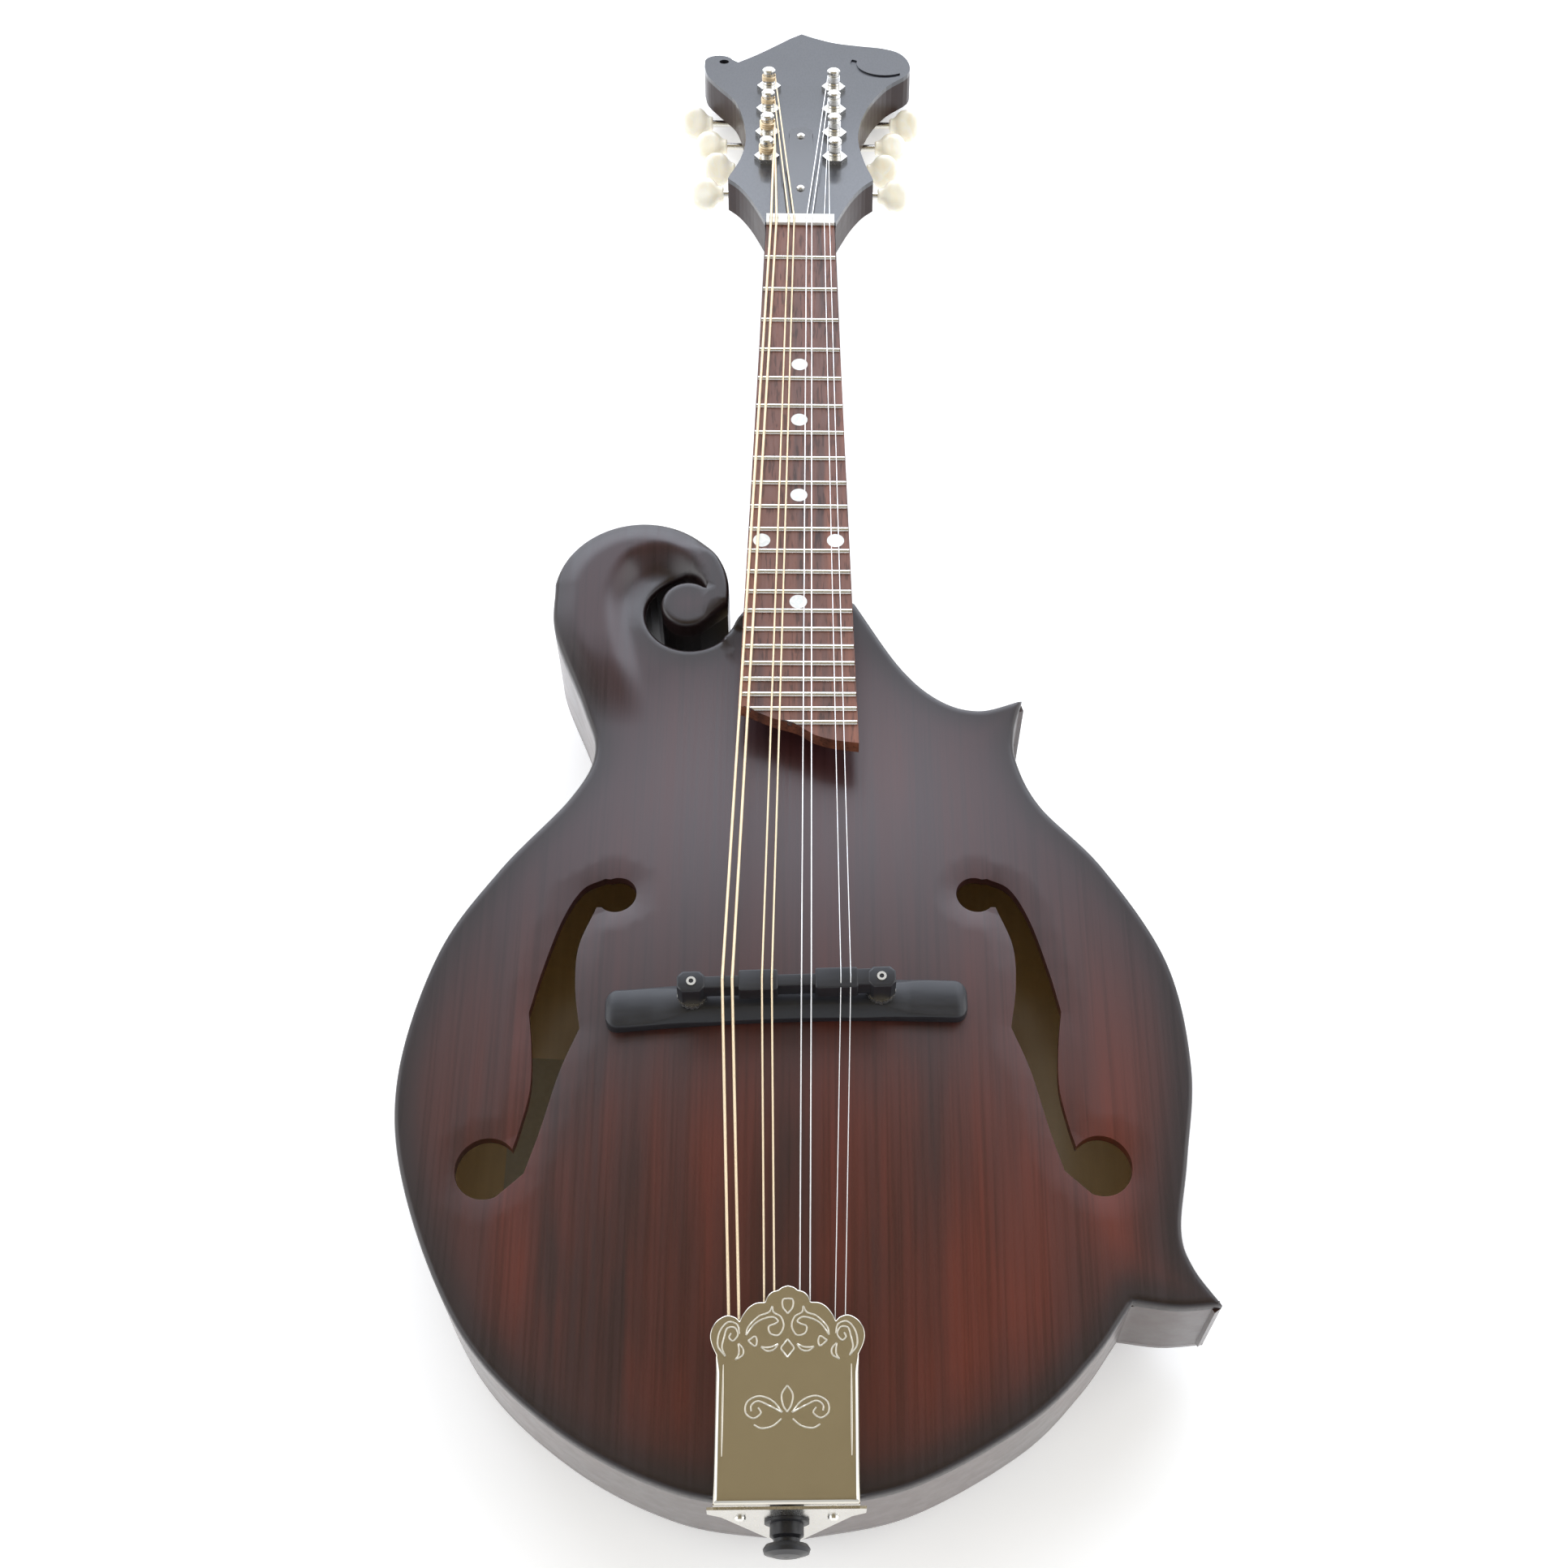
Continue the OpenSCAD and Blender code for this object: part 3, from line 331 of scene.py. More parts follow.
def roundover(d, r):
    """How far a surface drops at distance d from an edge rounded with radius r."""
    u = np.clip(1 - d / r, 0, 1)
    return r * (1 - np.sqrt(1 - u * u))


# ---------------------------------------------------------------- carved plates
def arch(p):
    b = np.where(p[:, 1] > 0, ARCH_NECK, ARCH_TAIL)
    s = 1 - (p[:, 0] / ARCH_X) ** 2 - (p[:, 1] / b) ** 2
    return np.where(s > 0, s * s, 0)


# The line where the scroll's raised band steps down to its hollow, from the waist round to the curl
BAND_STEP = curve([[-57, 118], [-61, 140], [-66, 160], [-69.6, 180], [-68, 192], [-63, 202], [-54, 206.5],
                   [-46, 205.5], [-39.5, 201], [-35.5, 195], [-33.8, 190]])
HOLLOW = np.vstack([BAND_STEP, [[-38, 192], [-48, 189], [-52, 179], [-39, 167], [-28, 170], [-20, 150],
                                [-34, 100]]])
BAND_RISE, SCOOP_DEPTH = 3.6, 2.9


def nearness(p, centre, far, near):
    """Grows from 0 at the distance far from a centre to 1 at the distance near."""
    return smoothstep(far, near, np.linalg.norm(p - centre, axis=1))


def scroll_relief(p):
    """Height of the carved scroll above the plate's edge level."""
    x, y = p.T
    d = distance(p, BAND_STEP, closed=False)
    side = np.where(inside(p, HOLLOW), -d, d)
    reach = np.maximum(nearness(p, (-60, 184), 54, 26) * smoothstep(-20, -30, x), smoothstep(171, 175, y))
    arm = nearness(p, (-28, 188), 26, 10)
    full = smoothstep(0, 9, distance(p, OUTLINE) + 9 * arm)
    band = smoothstep(-9.0, 1.5, side) * (0.45 + 0.55 * full) * reach
    curl = nearness(p, CURL_CENTRE, CURL_R + 2.9, CURL_R + 0.9)
    scoop = smoothstep(1, -13, side) * smoothstep(170, 200, y) * (1 - curl)
    return smoothstep(104, 168, y) * (BAND_RISE * np.maximum(band, curl) - SCOOP_DEPTH * scoop)


EDGE_ROWS = (0.25, 0.6, 1.1, 1.8, 2.8, 4.2)
EDGE_ROUND, HOLE_ROUND = 1.8, 0.7


def top_face(x, y):
    """Height of the arched top at one point, without the scroll."""
    return float(TOP_EDGE + TOP_ARCH * arch(np.array([[x, y]]))[0])


def hole_distance(p):
    return np.minimum(distance(p, F_HOLE), distance(p, F_HOLE * (-1, 1)))


def top_height(p):
    bass_shoulder = (p[:, 0] < -14) & (p[:, 1] > 100)
    z = TOP_EDGE + TOP_ARCH * arch(p) + np.where(bass_shoulder, scroll_relief(p), 0)
    return z - roundover(distance(p, OUTLINE), EDGE_ROUND) - roundover(hole_distance(p), HOLE_ROUND)


def top_inner(p):
    return np.maximum(TOP_EDGE - PLATE_EDGE, TOP_EDGE + TOP_ARCH * arch(p) - PLATE_T)


def back_height(p):
    return BACK_EDGE - BACK_ARCH * arch(p) + roundover(distance(p, OUTLINE), EDGE_ROUND)


def back_inner(p):
    return np.minimum(BACK_EDGE + PLATE_EDGE, BACK_EDGE - BACK_ARCH * arch(p) + PLATE_T)


def add_edge_attributes(obj, top):
    """Stores each point's distance from the body's outline, in metres, for the darker stain at the edges,
    and which points lie on the bare inside."""
    me = obj.data
    co = np.empty(len(me.vertices) * 3)
    me.vertices.foreach_get("co", co)
    p = co.reshape(-1, 3)[:, :2] / MM
    edge = distance(p, OUTLINE)
    me.attributes.new("edge", "FLOAT", "POINT").data.foreach_set("value", edge * MM)
    lower_layer = np.arange(len(p)) >= len(p) // 2
    bare = (lower_layer & (hole_distance(p) > 0.35) if top else ~lower_layer) & (edge > 3)
    me.attributes.new("bare", "FLOAT", "POINT").data.foreach_set("value", np.where(bare, 1.0, 0.0))


def build_plates():
    left_hole = (F_HOLE * (-1, 1))[::-1]
    top = sheet_solid("carved_top", OUTLINE, [F_HOLE, left_hole], top_height, top_inner, EDGE_ROWS, 3.2,
                      extra=(-92, 104, -16, 222, 1.5))
    back = sheet_solid("carved_back", OUTLINE, [], back_inner, back_height, EDGE_ROWS, 4.0)
    for obj, node in ((top, "top_plate"), (back, "back_plate")):
        add_edge_attributes(obj, obj is top)
        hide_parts(node)
        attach(obj, "body")
    return top, back


def build_ribs():
    """The bent sides as one smooth band for each rib, set in a little under the plates' edges."""
    low, high = BACK_EDGE + PLATE_EDGE, TOP_EDGE - PLATE_EDGE
    runs = {"rib_bass": np.vstack([SCROLL_RUN, BASS_RUN[1:]]),
            "rib_tail": np.vstack([TAIL_RUN, LOWER_POINT_RUN[1:]]),
            "rib_bout": BOUT_RUN, "rib_shoulder": SHOULDER_RUN}
    made = []
    for node, run in runs.items():
        p = even(run, STEP)
        t = np.gradient(p, axis=0)
        t /= np.linalg.norm(t, axis=1)[:, None]
        nrm = np.stack([-t[:, 1], t[:, 0]], 1)
        band = channel(p + 0.02 * nrm, p + 2.4 * nrm, low, high)
        obj = fixed_normals(new_mesh(node.replace("rib", "side"), *band, 35))
        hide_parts(node)
        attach(obj, "body")
        made.append(obj)
    return made


# ---------------------------------------------------------------- materials
def material(name):
    mat = bpy.data.materials.new(name)
    mat.use_nodes = True
    nt = mat.node_tree
    return mat, nt, nt.nodes["Principled BSDF"]


def node(nt, kind, **values):
    n = nt.nodes.new(kind)
    for key, value in values.items():
        if key in n.inputs:
            n.inputs[key].default_value = value
        else:
            setattr(n, key, value)
    return n


def coords(nt, scale=(1, 1, 1)):
    tc = node(nt, "ShaderNodeTexCoord")
    mp = node(nt, "ShaderNodeMapping")
    mp.inputs["Scale"].default_value = scale
    nt.links.new(tc.outputs["Object"], mp.inputs["Vector"])
    return mp.outputs[0]


def noise(nt, vector, scale, detail=4, rough=0.55, distortion=0.0):
    n = node(nt, "ShaderNodeTexNoise", Scale=scale, Detail=detail, Roughness=rough, Distortion=distortion)
    nt.links.new(vector, n.inputs["Vector"])
    return n.outputs["Fac"]


def ramp(nt, fac, *stops):
    n = node(nt, "ShaderNodeValToRGB")
    el = n.color_ramp.elements
    while len(el) > 2:
        el.remove(el[-1])
    for i, (pos, col) in enumerate(stops):
        e = el[i] if i < 2 else el.new(pos)
        e.position = pos
        e.color = tuple(col) + (1,)
    nt.links.new(fac, n.inputs[0])
    return n.outputs[0]


def mix(nt, fac, a, b, kind="MIX"):
    n = node(nt, "ShaderNodeMix", data_type="RGBA", blend_type=kind)
    for sock, v in ((0, fac), (6, a), (7, b)):
        if hasattr(v, "is_output"):
            nt.links.new(v, n.inputs[sock])
        else:
            n.inputs[sock].default_value = v if sock == 0 else tuple(v) + (1,)
    return n.outputs[2]


def math_node(nt, op, a, b):
    n = node(nt, "ShaderNodeMath", operation=op)
    for i, v in enumerate((a, b)):
        if hasattr(v, "is_output"):
            nt.links.new(v, n.inputs[i])
        else:
            n.inputs[i].default_value = v
    return n.outputs[0]


def map_range(nt, value, a, b, c=0.0, d=1.0, kind="SMOOTHSTEP"):
    n = node(nt, "ShaderNodeMapRange", interpolation_type=kind)
    nt.links.new(value, n.inputs[0])
    for i, v in enumerate((a, b, c, d)):
        n.inputs[i + 1].default_value = v
    return n.outputs[0]


def bump(nt, shader, height, strength, distance_m):
    n = node(nt, "ShaderNodeBump", Strength=strength, Distance=distance_m)
    nt.links.new(height, n.inputs["Height"])
    nt.links.new(n.outputs[0], shader.inputs["Normal"])


def raw_wood(nt):
    """The colour of sanded wood on the inside of the body."""
    grain = noise(nt, coords(nt, (1, 0.06, 0.3)), 260, 4, 0.55)
    return mix(nt, grain, (0.66, 0.48, 0.23), (0.82, 0.62, 0.34))


def attribute(nt, name):
    return node(nt, "ShaderNodeAttribute", attribute_name=name).outputs["Fac"]


def stained_top():
    """Spruce with fine lines along the body, under a red-brown stain that is darker at the edges; the upper half is
    tinted cooler as a painted sheen.
    """
    mat, nt, sh = material("stained_spruce")
    fine = noise(nt, coords(nt, (1, 0.012, 0.05)), 620, 3, 0.6)
    band = noise(nt, coords(nt, (1, 0.05, 0.3)), 62, 5, 0.62)
    wide = noise(nt, coords(nt, (1, 0.3, 0.5)), 17, 3, 0.55)
    cloud = noise(nt, coords(nt, (1, 0.7, 1)), 11, 3, 0.5)
    xyz = node(nt, "ShaderNodeSeparateXYZ")
    nt.links.new(node(nt, "ShaderNodeTexCoord").outputs["Object"], xyz.inputs[0])
    lower = map_range(nt, xyz.outputs["Y"], 0.06, -0.05, 0.25, 1.0)
    rim = map_range(nt, attribute(nt, "edge"), 0.0, 0.028)
    both = math_node(nt, "ADD", math_node(nt, "MULTIPLY", band, 0.42), math_node(nt, "MULTIPLY", wide, 0.58))
    streak = ramp(nt, both, (0.40, (0, 0, 0)), (0.60, (1, 1, 1)))
    red = math_node(nt, "MULTIPLY", math_node(nt, "MULTIPLY", streak, lower), rim)
    base = mix(nt, cloud, (0.024, 0.0080, 0.0075), (0.046, 0.0125, 0.0100))
    # Painted sheen: the upper half takes a cooler, purplish base that stands in for the lavender reflection of the
    # gloss.
    painted_sheen_tint = mix(nt, cloud, (0.024, 0.0115, 0.0150), (0.042, 0.0165, 0.0190))
    base = mix(nt, map_range(nt, xyz.outputs["Y"], -0.02, 0.10), base, painted_sheen_tint)
    col = mix(nt, red, base, (0.125, 0.0180, 0.0075))
    col = mix(nt, map_range(nt, attribute(nt, "edge"), 0.0, 0.012), (0.014, 0.006, 0.006), col)
    lines = map_range(nt, fine, 0.32, 0.68, 0.72, 1.2, "LINEAR")
    col = mix(nt, 1.0, col, ramp(nt, lines, (0, (0, 0, 0)), (1, (1, 1, 1))), "MULTIPLY")
    nt.links.new(mix(nt, attribute(nt, "bare"), col, raw_wood(nt)), sh.inputs["Base Color"])
    nt.links.new(map_range(nt, fine, 0.3, 0.7, 0.36, 0.44), sh.inputs["Roughness"])
    sh.inputs["Coat Weight"].default_value = 0.3
    sh.inputs["Coat Roughness"].default_value = 0.28
    bump(nt, sh, fine, 0.3, 0.00012)
    return mat


def stained_wood(name="stained_maple", coat=0.5, tone=1.0):
    """Figured maple under the stain; a lower tone is darker and hides the figure."""
    mat, nt, sh = material(name)
    grain = noise(nt, coords(nt, (1, 0.05, 1)), 160, 5, 0.6)
    flame = noise(nt, coords(nt, (0.35, 1, 0.2)), 60, 2, 0.4)
    col = mix(nt, grain, (0.022, 0.0095, 0.0085), (0.050, 0.0165, 0.012))
    col = mix(nt, map_range(nt, flame, 0.4, 0.6, 0, 0.35 * tone), col, (0.075, 0.022, 0.014))
    col = mix(nt, tone, (0.012, 0.009, 0.009), col)
    nt.links.new(mix(nt, attribute(nt, "bare"), col, raw_wood(nt)), sh.inputs["Base Color"])
    nt.links.new(map_range(nt, grain, 0.3, 0.7, 0.30, 0.37), sh.inputs["Roughness"])
    sh.inputs["Coat Weight"].default_value = coat
    sh.inputs["Coat Roughness"].default_value = 0.2
    sh.inputs["Specular IOR Level"].default_value = coat
    bump(nt, sh, grain, 0.15, 0.0001)
    return mat


def block_wood():
    """Bare wood, stained dark on the walls of the scroll's slot."""
    mat, nt, sh = material("bare_block")
    xyz = node(nt, "ShaderNodeSeparateXYZ")
    nt.links.new(node(nt, "ShaderNodeTexCoord").outputs["Object"], xyz.inputs[0])
    slot_x, slot_y, reach = -0.0385, 0.1787, 0.0188
    dx = math_node(nt, "ADD", xyz.outputs["X"], -slot_x)
    dy = math_node(nt, "SUBTRACT", xyz.outputs["Y"], slot_y)
    r2 = math_node(nt, "ADD", math_node(nt, "MULTIPLY", dx, dx), math_node(nt, "MULTIPLY", dy, dy))
    stained = math_node(nt, "LESS_THAN", r2, reach ** 2)
    nt.links.new(mix(nt, stained, raw_wood(nt), (0.012, 0.007, 0.007)), sh.inputs["Base Color"])
    sh.inputs["Roughness"].default_value = 0.45
    bump(nt, sh, noise(nt, coords(nt, (1, 0.06, 0.3)), 260, 4, 0.55), 0.2, 0.0001)
    return mat


def bare_wood():
    mat, nt, sh = material("bare_spruce")
    grain = noise(nt, coords(nt, (1, 0.06, 0.3)), 260, 4, 0.55)
    nt.links.new(raw_wood(nt), sh.inputs["Base Color"])
    sh.inputs["Roughness"].default_value = 0.7
    bump(nt, sh, grain, 0.2, 0.0001)
    return mat


def rosewood():
    mat, nt, sh = material("rosewood_board")
    streak = noise(nt, coords(nt, (1, 0.03, 0.2)), 190, 5, 0.6)
    pores = noise(nt, coords(nt, (1, 0.09, 1)), 900, 2, 0.5)
    broad = noise(nt, coords(nt, (1, 0.08, 1)), 60, 3, 0.5)
    col = ramp(nt, streak, (0.36, (0.060, 0.020, 0.012)), (0.66, (0.26, 0.085, 0.042)))
    col = mix(nt, map_range(nt, broad, 0.42, 0.66), col, (0.17, 0.058, 0.032))
    dark = map_range(nt, pores, 0.36, 0.46, 0.55, 1.0)
    col = mix(nt, 1.0, col, ramp(nt, dark, (0, (0, 0, 0)), (1, (1, 1, 1))), "MULTIPLY")
    nt.links.new(col, sh.inputs["Base Color"])
    nt.links.new(map_range(nt, pores, 0.3, 0.7, 0.55, 0.42), sh.inputs["Roughness"])
    bump(nt, sh, pores, 0.35, 0.00015)
    return mat


def ebony():
    mat, nt, sh = material("ebony")
    grain = noise(nt, coords(nt, (0.08, 1, 1)), 350, 4, 0.55)
    nt.links.new(mix(nt, grain, (0.012, 0.012, 0.014), (0.028, 0.028, 0.033)), sh.inputs["Base Color"])
    nt.links.new(map_range(nt, grain, 0.3, 0.7, 0.32, 0.42), sh.inputs["Roughness"])
    bump(nt, sh, grain, 0.15, 0.00008)
    return mat


def lacquer(name, low, high, rough, coat):
    """A gloss black or coloured lacquer with faint clouding and polishing marks."""
    mat, nt, sh = material(name)
    cloud = noise(nt, coords(nt), 45, 3, 0.5)
    marks = noise(nt, coords(nt, (1, 0.2, 1)), 1400, 2, 0.5)
    nt.links.new(mix(nt, cloud, low, high), sh.inputs["Base Color"])
    nt.links.new(map_range(nt, marks, 0.3, 0.7, rough, rough * 1.3), sh.inputs["Roughness"])
    sh.inputs["Coat Weight"].default_value = coat
    sh.inputs["Coat Roughness"].default_value = 0.1
    return mat


def metal(name, low, high, rough, scratch_axis=(1, 1, 1)):
    mat, nt, sh = material(name)
    cloud = noise(nt, coords(nt), 120, 3, 0.5)
    marks = noise(nt, coords(nt, scratch_axis), 1500, 2, 0.5)
    nt.links.new(mix(nt, cloud, low, high), sh.inputs["Base Color"])
    nt.links.new(map_range(nt, marks, 0.3, 0.7, rough * 0.9, rough * 1.15), sh.inputs["Roughness"])
    sh.inputs["Metallic"].default_value = 1.0
    bump(nt, sh, cloud, 0.04, 0.00003)
    return mat


def wound_string():
    """Bronze wire wound round a core: fine ridges across the string."""
    mat, nt, sh = material("bronze_winding")
    w = node(nt, "ShaderNodeTexWave", wave_type="BANDS", bands_direction="Y", Scale=1100, Distortion=0.6)
    w.inputs["Detail"].default_value = 1
    nt.links.new(coords(nt), w.inputs["Vector"])
    wear = noise(nt, coords(nt), 90, 3, 0.5)
    col = mix(nt, wear, (0.92, 0.72, 0.46), (1.0, 0.88, 0.66))
    # Painted shade: the grooves between the windings are darkened towards brown.
    col = mix(nt, map_range(nt, w.outputs["Fac"], 0.0, 0.5, 0.3, 0.0), col, (0.35, 0.20, 0.10))
    nt.links.new(col, sh.inputs["Base Color"])
    sh.inputs["Metallic"].default_value = 1.0
    nt.links.new(map_range(nt, wear, 0.3, 0.7, 0.42, 0.56), sh.inputs["Roughness"])
    bump(nt, sh, w.outputs["Fac"], 0.5, 0.0001)
    return mat


def pearl():
    mat, nt, sh = material("pearl_inlay")
    swirl = noise(nt, coords(nt), 260, 3, 0.5, 1.5)
    nt.links.new(ramp(nt, swirl, (0.35, (0.72, 0.74, 0.70)), (0.6, (0.86, 0.86, 0.83))), sh.inputs["Base Color"])
    sh.inputs["Roughness"].default_value = 0.22
    sh.inputs["Coat Weight"].default_value = 0.4
    return mat


def bone():
    mat, nt, sh = material("bone_nut")
    grain = noise(nt, coords(nt, (0.2, 1, 1)), 400, 3, 0.5)
    nt.links.new(mix(nt, grain, (0.78, 0.76, 0.70), (0.88, 0.87, 0.82)), sh.inputs["Base Color"])
    nt.links.new(map_range(nt, grain, 0.3, 0.7, 0.38, 0.5), sh.inputs["Roughness"])
    sh.inputs["Subsurface Weight"].default_value = 0.1
    sh.inputs["Subsurface Radius"].default_value = (0.002, 0.0015, 0.001)
    return mat


def cream_plastic():
    mat, nt, sh = material("cream_button")
    cloud = noise(nt, coords(nt, (1, 0.4, 1)), 180, 3, 0.55, 1.0)
    nt.links.new(ramp(nt, cloud, (0.3, (0.90, 0.82, 0.62)), (0.65, (0.96, 0.92, 0.80))), sh.inputs["Base Color"])
    nt.links.new(map_range(nt, cloud, 0.3, 0.7, 0.2, 0.3), sh.inputs["Roughness"])
    sh.inputs["Subsurface Weight"].default_value = 0.15
    sh.inputs["Subsurface Radius"].default_value = (0.003, 0.002, 0.001)
    # Painted light: a faint warm glow makes the buttons brighter, though they are no lamp.
    sh.inputs["Emission Color"].default_value = (1.0, 0.93, 0.78, 1)
    sh.inputs["Emission Strength"].default_value = 0.16
    sh.inputs["Coat Weight"].default_value = 0.3
    return mat


def paper():
    mat, nt, sh = material("label_paper")
    fibre = noise(nt, coords(nt), 500, 4, 0.6)
    nt.links.new(mix(nt, fibre, (0.50, 0.44, 0.30), (0.62, 0.56, 0.42)), sh.inputs["Base Color"])
    sh.inputs["Roughness"].default_value = 0.9
    bump(nt, sh, fibre, 0.2, 0.0001)
    return mat


MATERIALS = {
    "stained_top": stained_top(), "stained_wood": stained_wood(),
    "neck_wood": stained_wood("stained_neck", 0.12, 0.45), "bare_wood": bare_wood(), "label_paper": paper(),
    "steel": metal("rod_steel", (0.42, 0.42, 0.42), (0.55, 0.55, 0.56), 0.35),
    "brass": metal("nut_brass", (0.55, 0.38, 0.16), (0.68, 0.5, 0.24), 0.3),
    "black_plastic": lacquer("black_cover", (0.010, 0.010, 0.012), (0.018, 0.018, 0.021), 0.2, 0.3),
    "rosewood": rosewood(),
    "nickel": metal("nickel_plate", (0.76, 0.74, 0.70), (0.86, 0.84, 0.79), 0.24),
    "engraving": metal("nickel_engraving", (0.90, 0.87, 0.78), (0.98, 0.95, 0.88), 0.45),
    "mirror_nickel": metal("nickel_mirror", (0.66, 0.62, 0.54), (0.71, 0.67, 0.59), 0.05),
    "block_wood": block_wood(),
    "pearl": pearl(), "bone": bone(),
    "black_lacquer": lacquer("black_face", (0.014, 0.015, 0.020), (0.026, 0.027, 0.036), 0.28, 0.4),
    "ebony": ebony(), "bronze_string": wound_string(),
    "steel_string": metal("string_steel", (0.88, 0.88, 0.88), (0.98, 0.98, 0.98), 0.42, (1, 0.05, 1)),
    "cream_plastic": cream_plastic(),
}


def finish_node(obj, mat):
    obj.data.materials.clear()
    obj.data.materials.append(mat)


def dress_cad_nodes():
    """Every CAD node that still shows takes a material (its slot's, or a wood of its own for the neck and the neck
    block), and some take small edge rounds.
    """
    slots = {s["node"]: s["material_slot"] for s in frame["record"]["subparts"]}
    rounds = {"thumbwheel_bass": 0.25, "thumbwheel_treble": 0.25, "nut": 0.9, "fretboard": 0.25,
              "headstock_overlay": 0.9, "truss_rod_cover": 0.3, "tailpiece_base": 0.2, "tuner_bushings": 0.3,
              "bridge_base": 0.5, "bridge_saddle": 0.35}
    for name, obj in NODES.items():
        finish_node(obj, MATERIALS[{"neck_block": "block_wood", "neck": "neck_wood"}.get(name, slots[name])])
        if name in rounds:
            bevel(obj, rounds[name])


# ---------------------------------------------------------------- tailpiece cover
# The lobes of the cover's front, from its side to its tip, measured from the tip's level; each run comes
# with the x that it is measured from.
LOBES = ((COVER_W / 2, [[-0.1, -20.2], [1.3, -17.2], [1.8, -14.6], [1.2, -12.1], [-0.4, -10], [-3, -8.7],
                        [-5.4, -9.2], [-6.6, -10.2]]),
         (0, [[14.2, -10.5], [13.4, -8.7], [11.6, -6.4], [9.4, -5.1], [7, -4.9]]),
         (0, [[6.8, -4.9], [6, -3.1], [4.7, -1.9], [3, -1.4]]), (0, [[2.8, -1.3], [1.7, -0.5], [0, 0]]))
# The engraved flourish on the right half of the cover, measured from the tip
FLOURISH = (
    [[0, -4.0], [1.5, -4.4], [1.4, -6.6], [0, -8.4]],
    [[0, -15.8], [1.1, -17.2], [1.9, -18.4], [1.1, -19.6], [0, -21]],
    [[4.6, -6.2], [4.2, -8], [2.0, -9.4], [1.2, -12], [2.6, -14.6], [5.0, -14.2], [5.6, -12.2], [3.8, -11.4]],
    [[4.6, -6.2], [5.6, -8.0], [8.6, -9.2], [11.6, -12.2], [12.2, -14.6]],
    [[12.2, -14.6], [10, -11.6], [7.4, -10], [4.4, -9.4], [2.8, -10.6], [3.8, -11.4]],
    [[2.8, -17.2], [4, -18.8], [6, -19.2], [7.8, -18]],
    [[2.8, -17.2], [4.6, -18], [6.2, -18.2], [7.8, -18]],
    [[11.6, -16.2], [9.6, -15], [9, -16.4], [9.6, -17.8], [11.6, -16.2]],
    [[14.4, -17], [13, -18.6], [13.2, -20.4], [15.2, -21.6]],
    [[14.4, -17], [14.2, -19], [14.4, -20.4], [15.2, -21.6]],
    [[18.2, -20.6], [19.2, -18], [18.6, -15], [17.8, -12.6], [15.6, -12.4], [14.6, -14.4], [16, -16.2],
     [17.2, -15.2], [16.6, -14]],
    [[18.2, -20.6], [20.4, -17.6], [20, -13.6], [17.6, -10.8], [14.8, -11.6], [14.2, -14.2]],
    [[0, -29], [1.6, -31.5], [1.2, -34.5], [0, -36.5]],
    [[1.4, -36.6], [4.2, -33.4], [8.2, -32], [11.6, -33.6], [12, -36.6], [9.8, -38.2], [7.6, -36.8],
     [8.4, -35.2]],
    [[1.4, -36.6], [5, -34.8], [8.4, -33.4], [10.4, -34.6], [10.4, -36.2]],
    [[1.6, -38.4], [4.2, -40.4], [7.4, -41], [9.6, -40]],
)
LINE_R = 0.24
SHEET_T = 0.8
LOBES_START = COVER_LEN - 21


def cover_outline():
    """The cover seen from above, mirrored from its right half."""
    w = COVER_W / 2
    runs = [even([[0, -1], [w, -1], [w, COVER_LEN - 20.8]], 0.9)]
    half = np.vstack(runs + [curve(lobe, 6) + (x, COVER_LEN) for x, lobe in LOBES])
    return joined(half, (half * (-1, 1))[::-1])


def line_on_cover(points):
    """A fine polished line on the cover's face; the mirrored line comes with it."""
    p = even(curve(points, 8), 0.35)
    return [tube(np.c_[p[:, 0] * side, p[:, 1], np.full(len(p), 0.02)], LINE_R, 6) for side in (1, -1)]


def build_cover():
    outline = cover_outline()
    w = COVER_W / 2

    def face(p):
        rounding = 0.35 + 1.35 * smoothstep(COVER_LEN - 19, COVER_LEN - 26, p[:, 1])
        return -roundover(distance(p, outline), rounding)

    shell = sheet_solid("tailpiece_shell", outline, [], face, lambda p: face(p) - SHEET_T,
                        (0.06, 0.2, 0.45, 0.8, 1.2, 1.7), 2.2, 60)
    run = np.array([[-w, LOBES_START], [-w, -1.0], [w, -1.0], [w, LOBES_START]])
    run = np.vstack([even(run[:2], 3), even(run[1:3], 3)[1:], even(run[2:], 3)[1:]])
    back = np.where(run[:, 1] < SHEET_T - 1, SHEET_T - 1 - run[:, 1], 0)
    inner = run * ((w - SHEET_T) / w, 1) + np.c_[np.zeros(len(run)), back]
    parts = [channel(run, inner, -2 * SHEET_T, -COVER_DROP)]
    for s in (1, -1):
        bead = np.array([[s * (w - 2.3), y, 0.0] for y in np.linspace(12, COVER_LEN - 23, 30)])
        parts.append(tube(bead, 0.28 * np.sin(np.linspace(0.12, math.pi - 0.12, 30)) ** 0.4, 8))
    skirt = merged("tailpiece_flange", parts, 50)
    lines = [part for points in FLOURISH for part in line_on_cover(np.array(points) + (0, COVER_LEN))]
    engraving = merged("tailpiece_engraving", lines, 60)
    for obj, look in ((shell, "mirror_nickel"), (skirt, "mirror_nickel"), (engraving, "engraving")):
        place(obj, COVER)
        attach(obj, "cover")
        finish_node(obj, MATERIALS[look])
    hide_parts("tailpiece_cover")


# ---------------------------------------------------------------- bridge
BRIDGE = Matrix.Translation((BRIDGE_X, BRIDGE_Y, 0)) @ Matrix.Rotation(SKEW, 4, "Z")
FOOT_HALF, FOOT_WIDE, FOOT_SHIFT, FOOT_END = 58.0, 6.5, -1.4, 4.0
WHEEL_BED = 74.28
SADDLE_T = 9.0


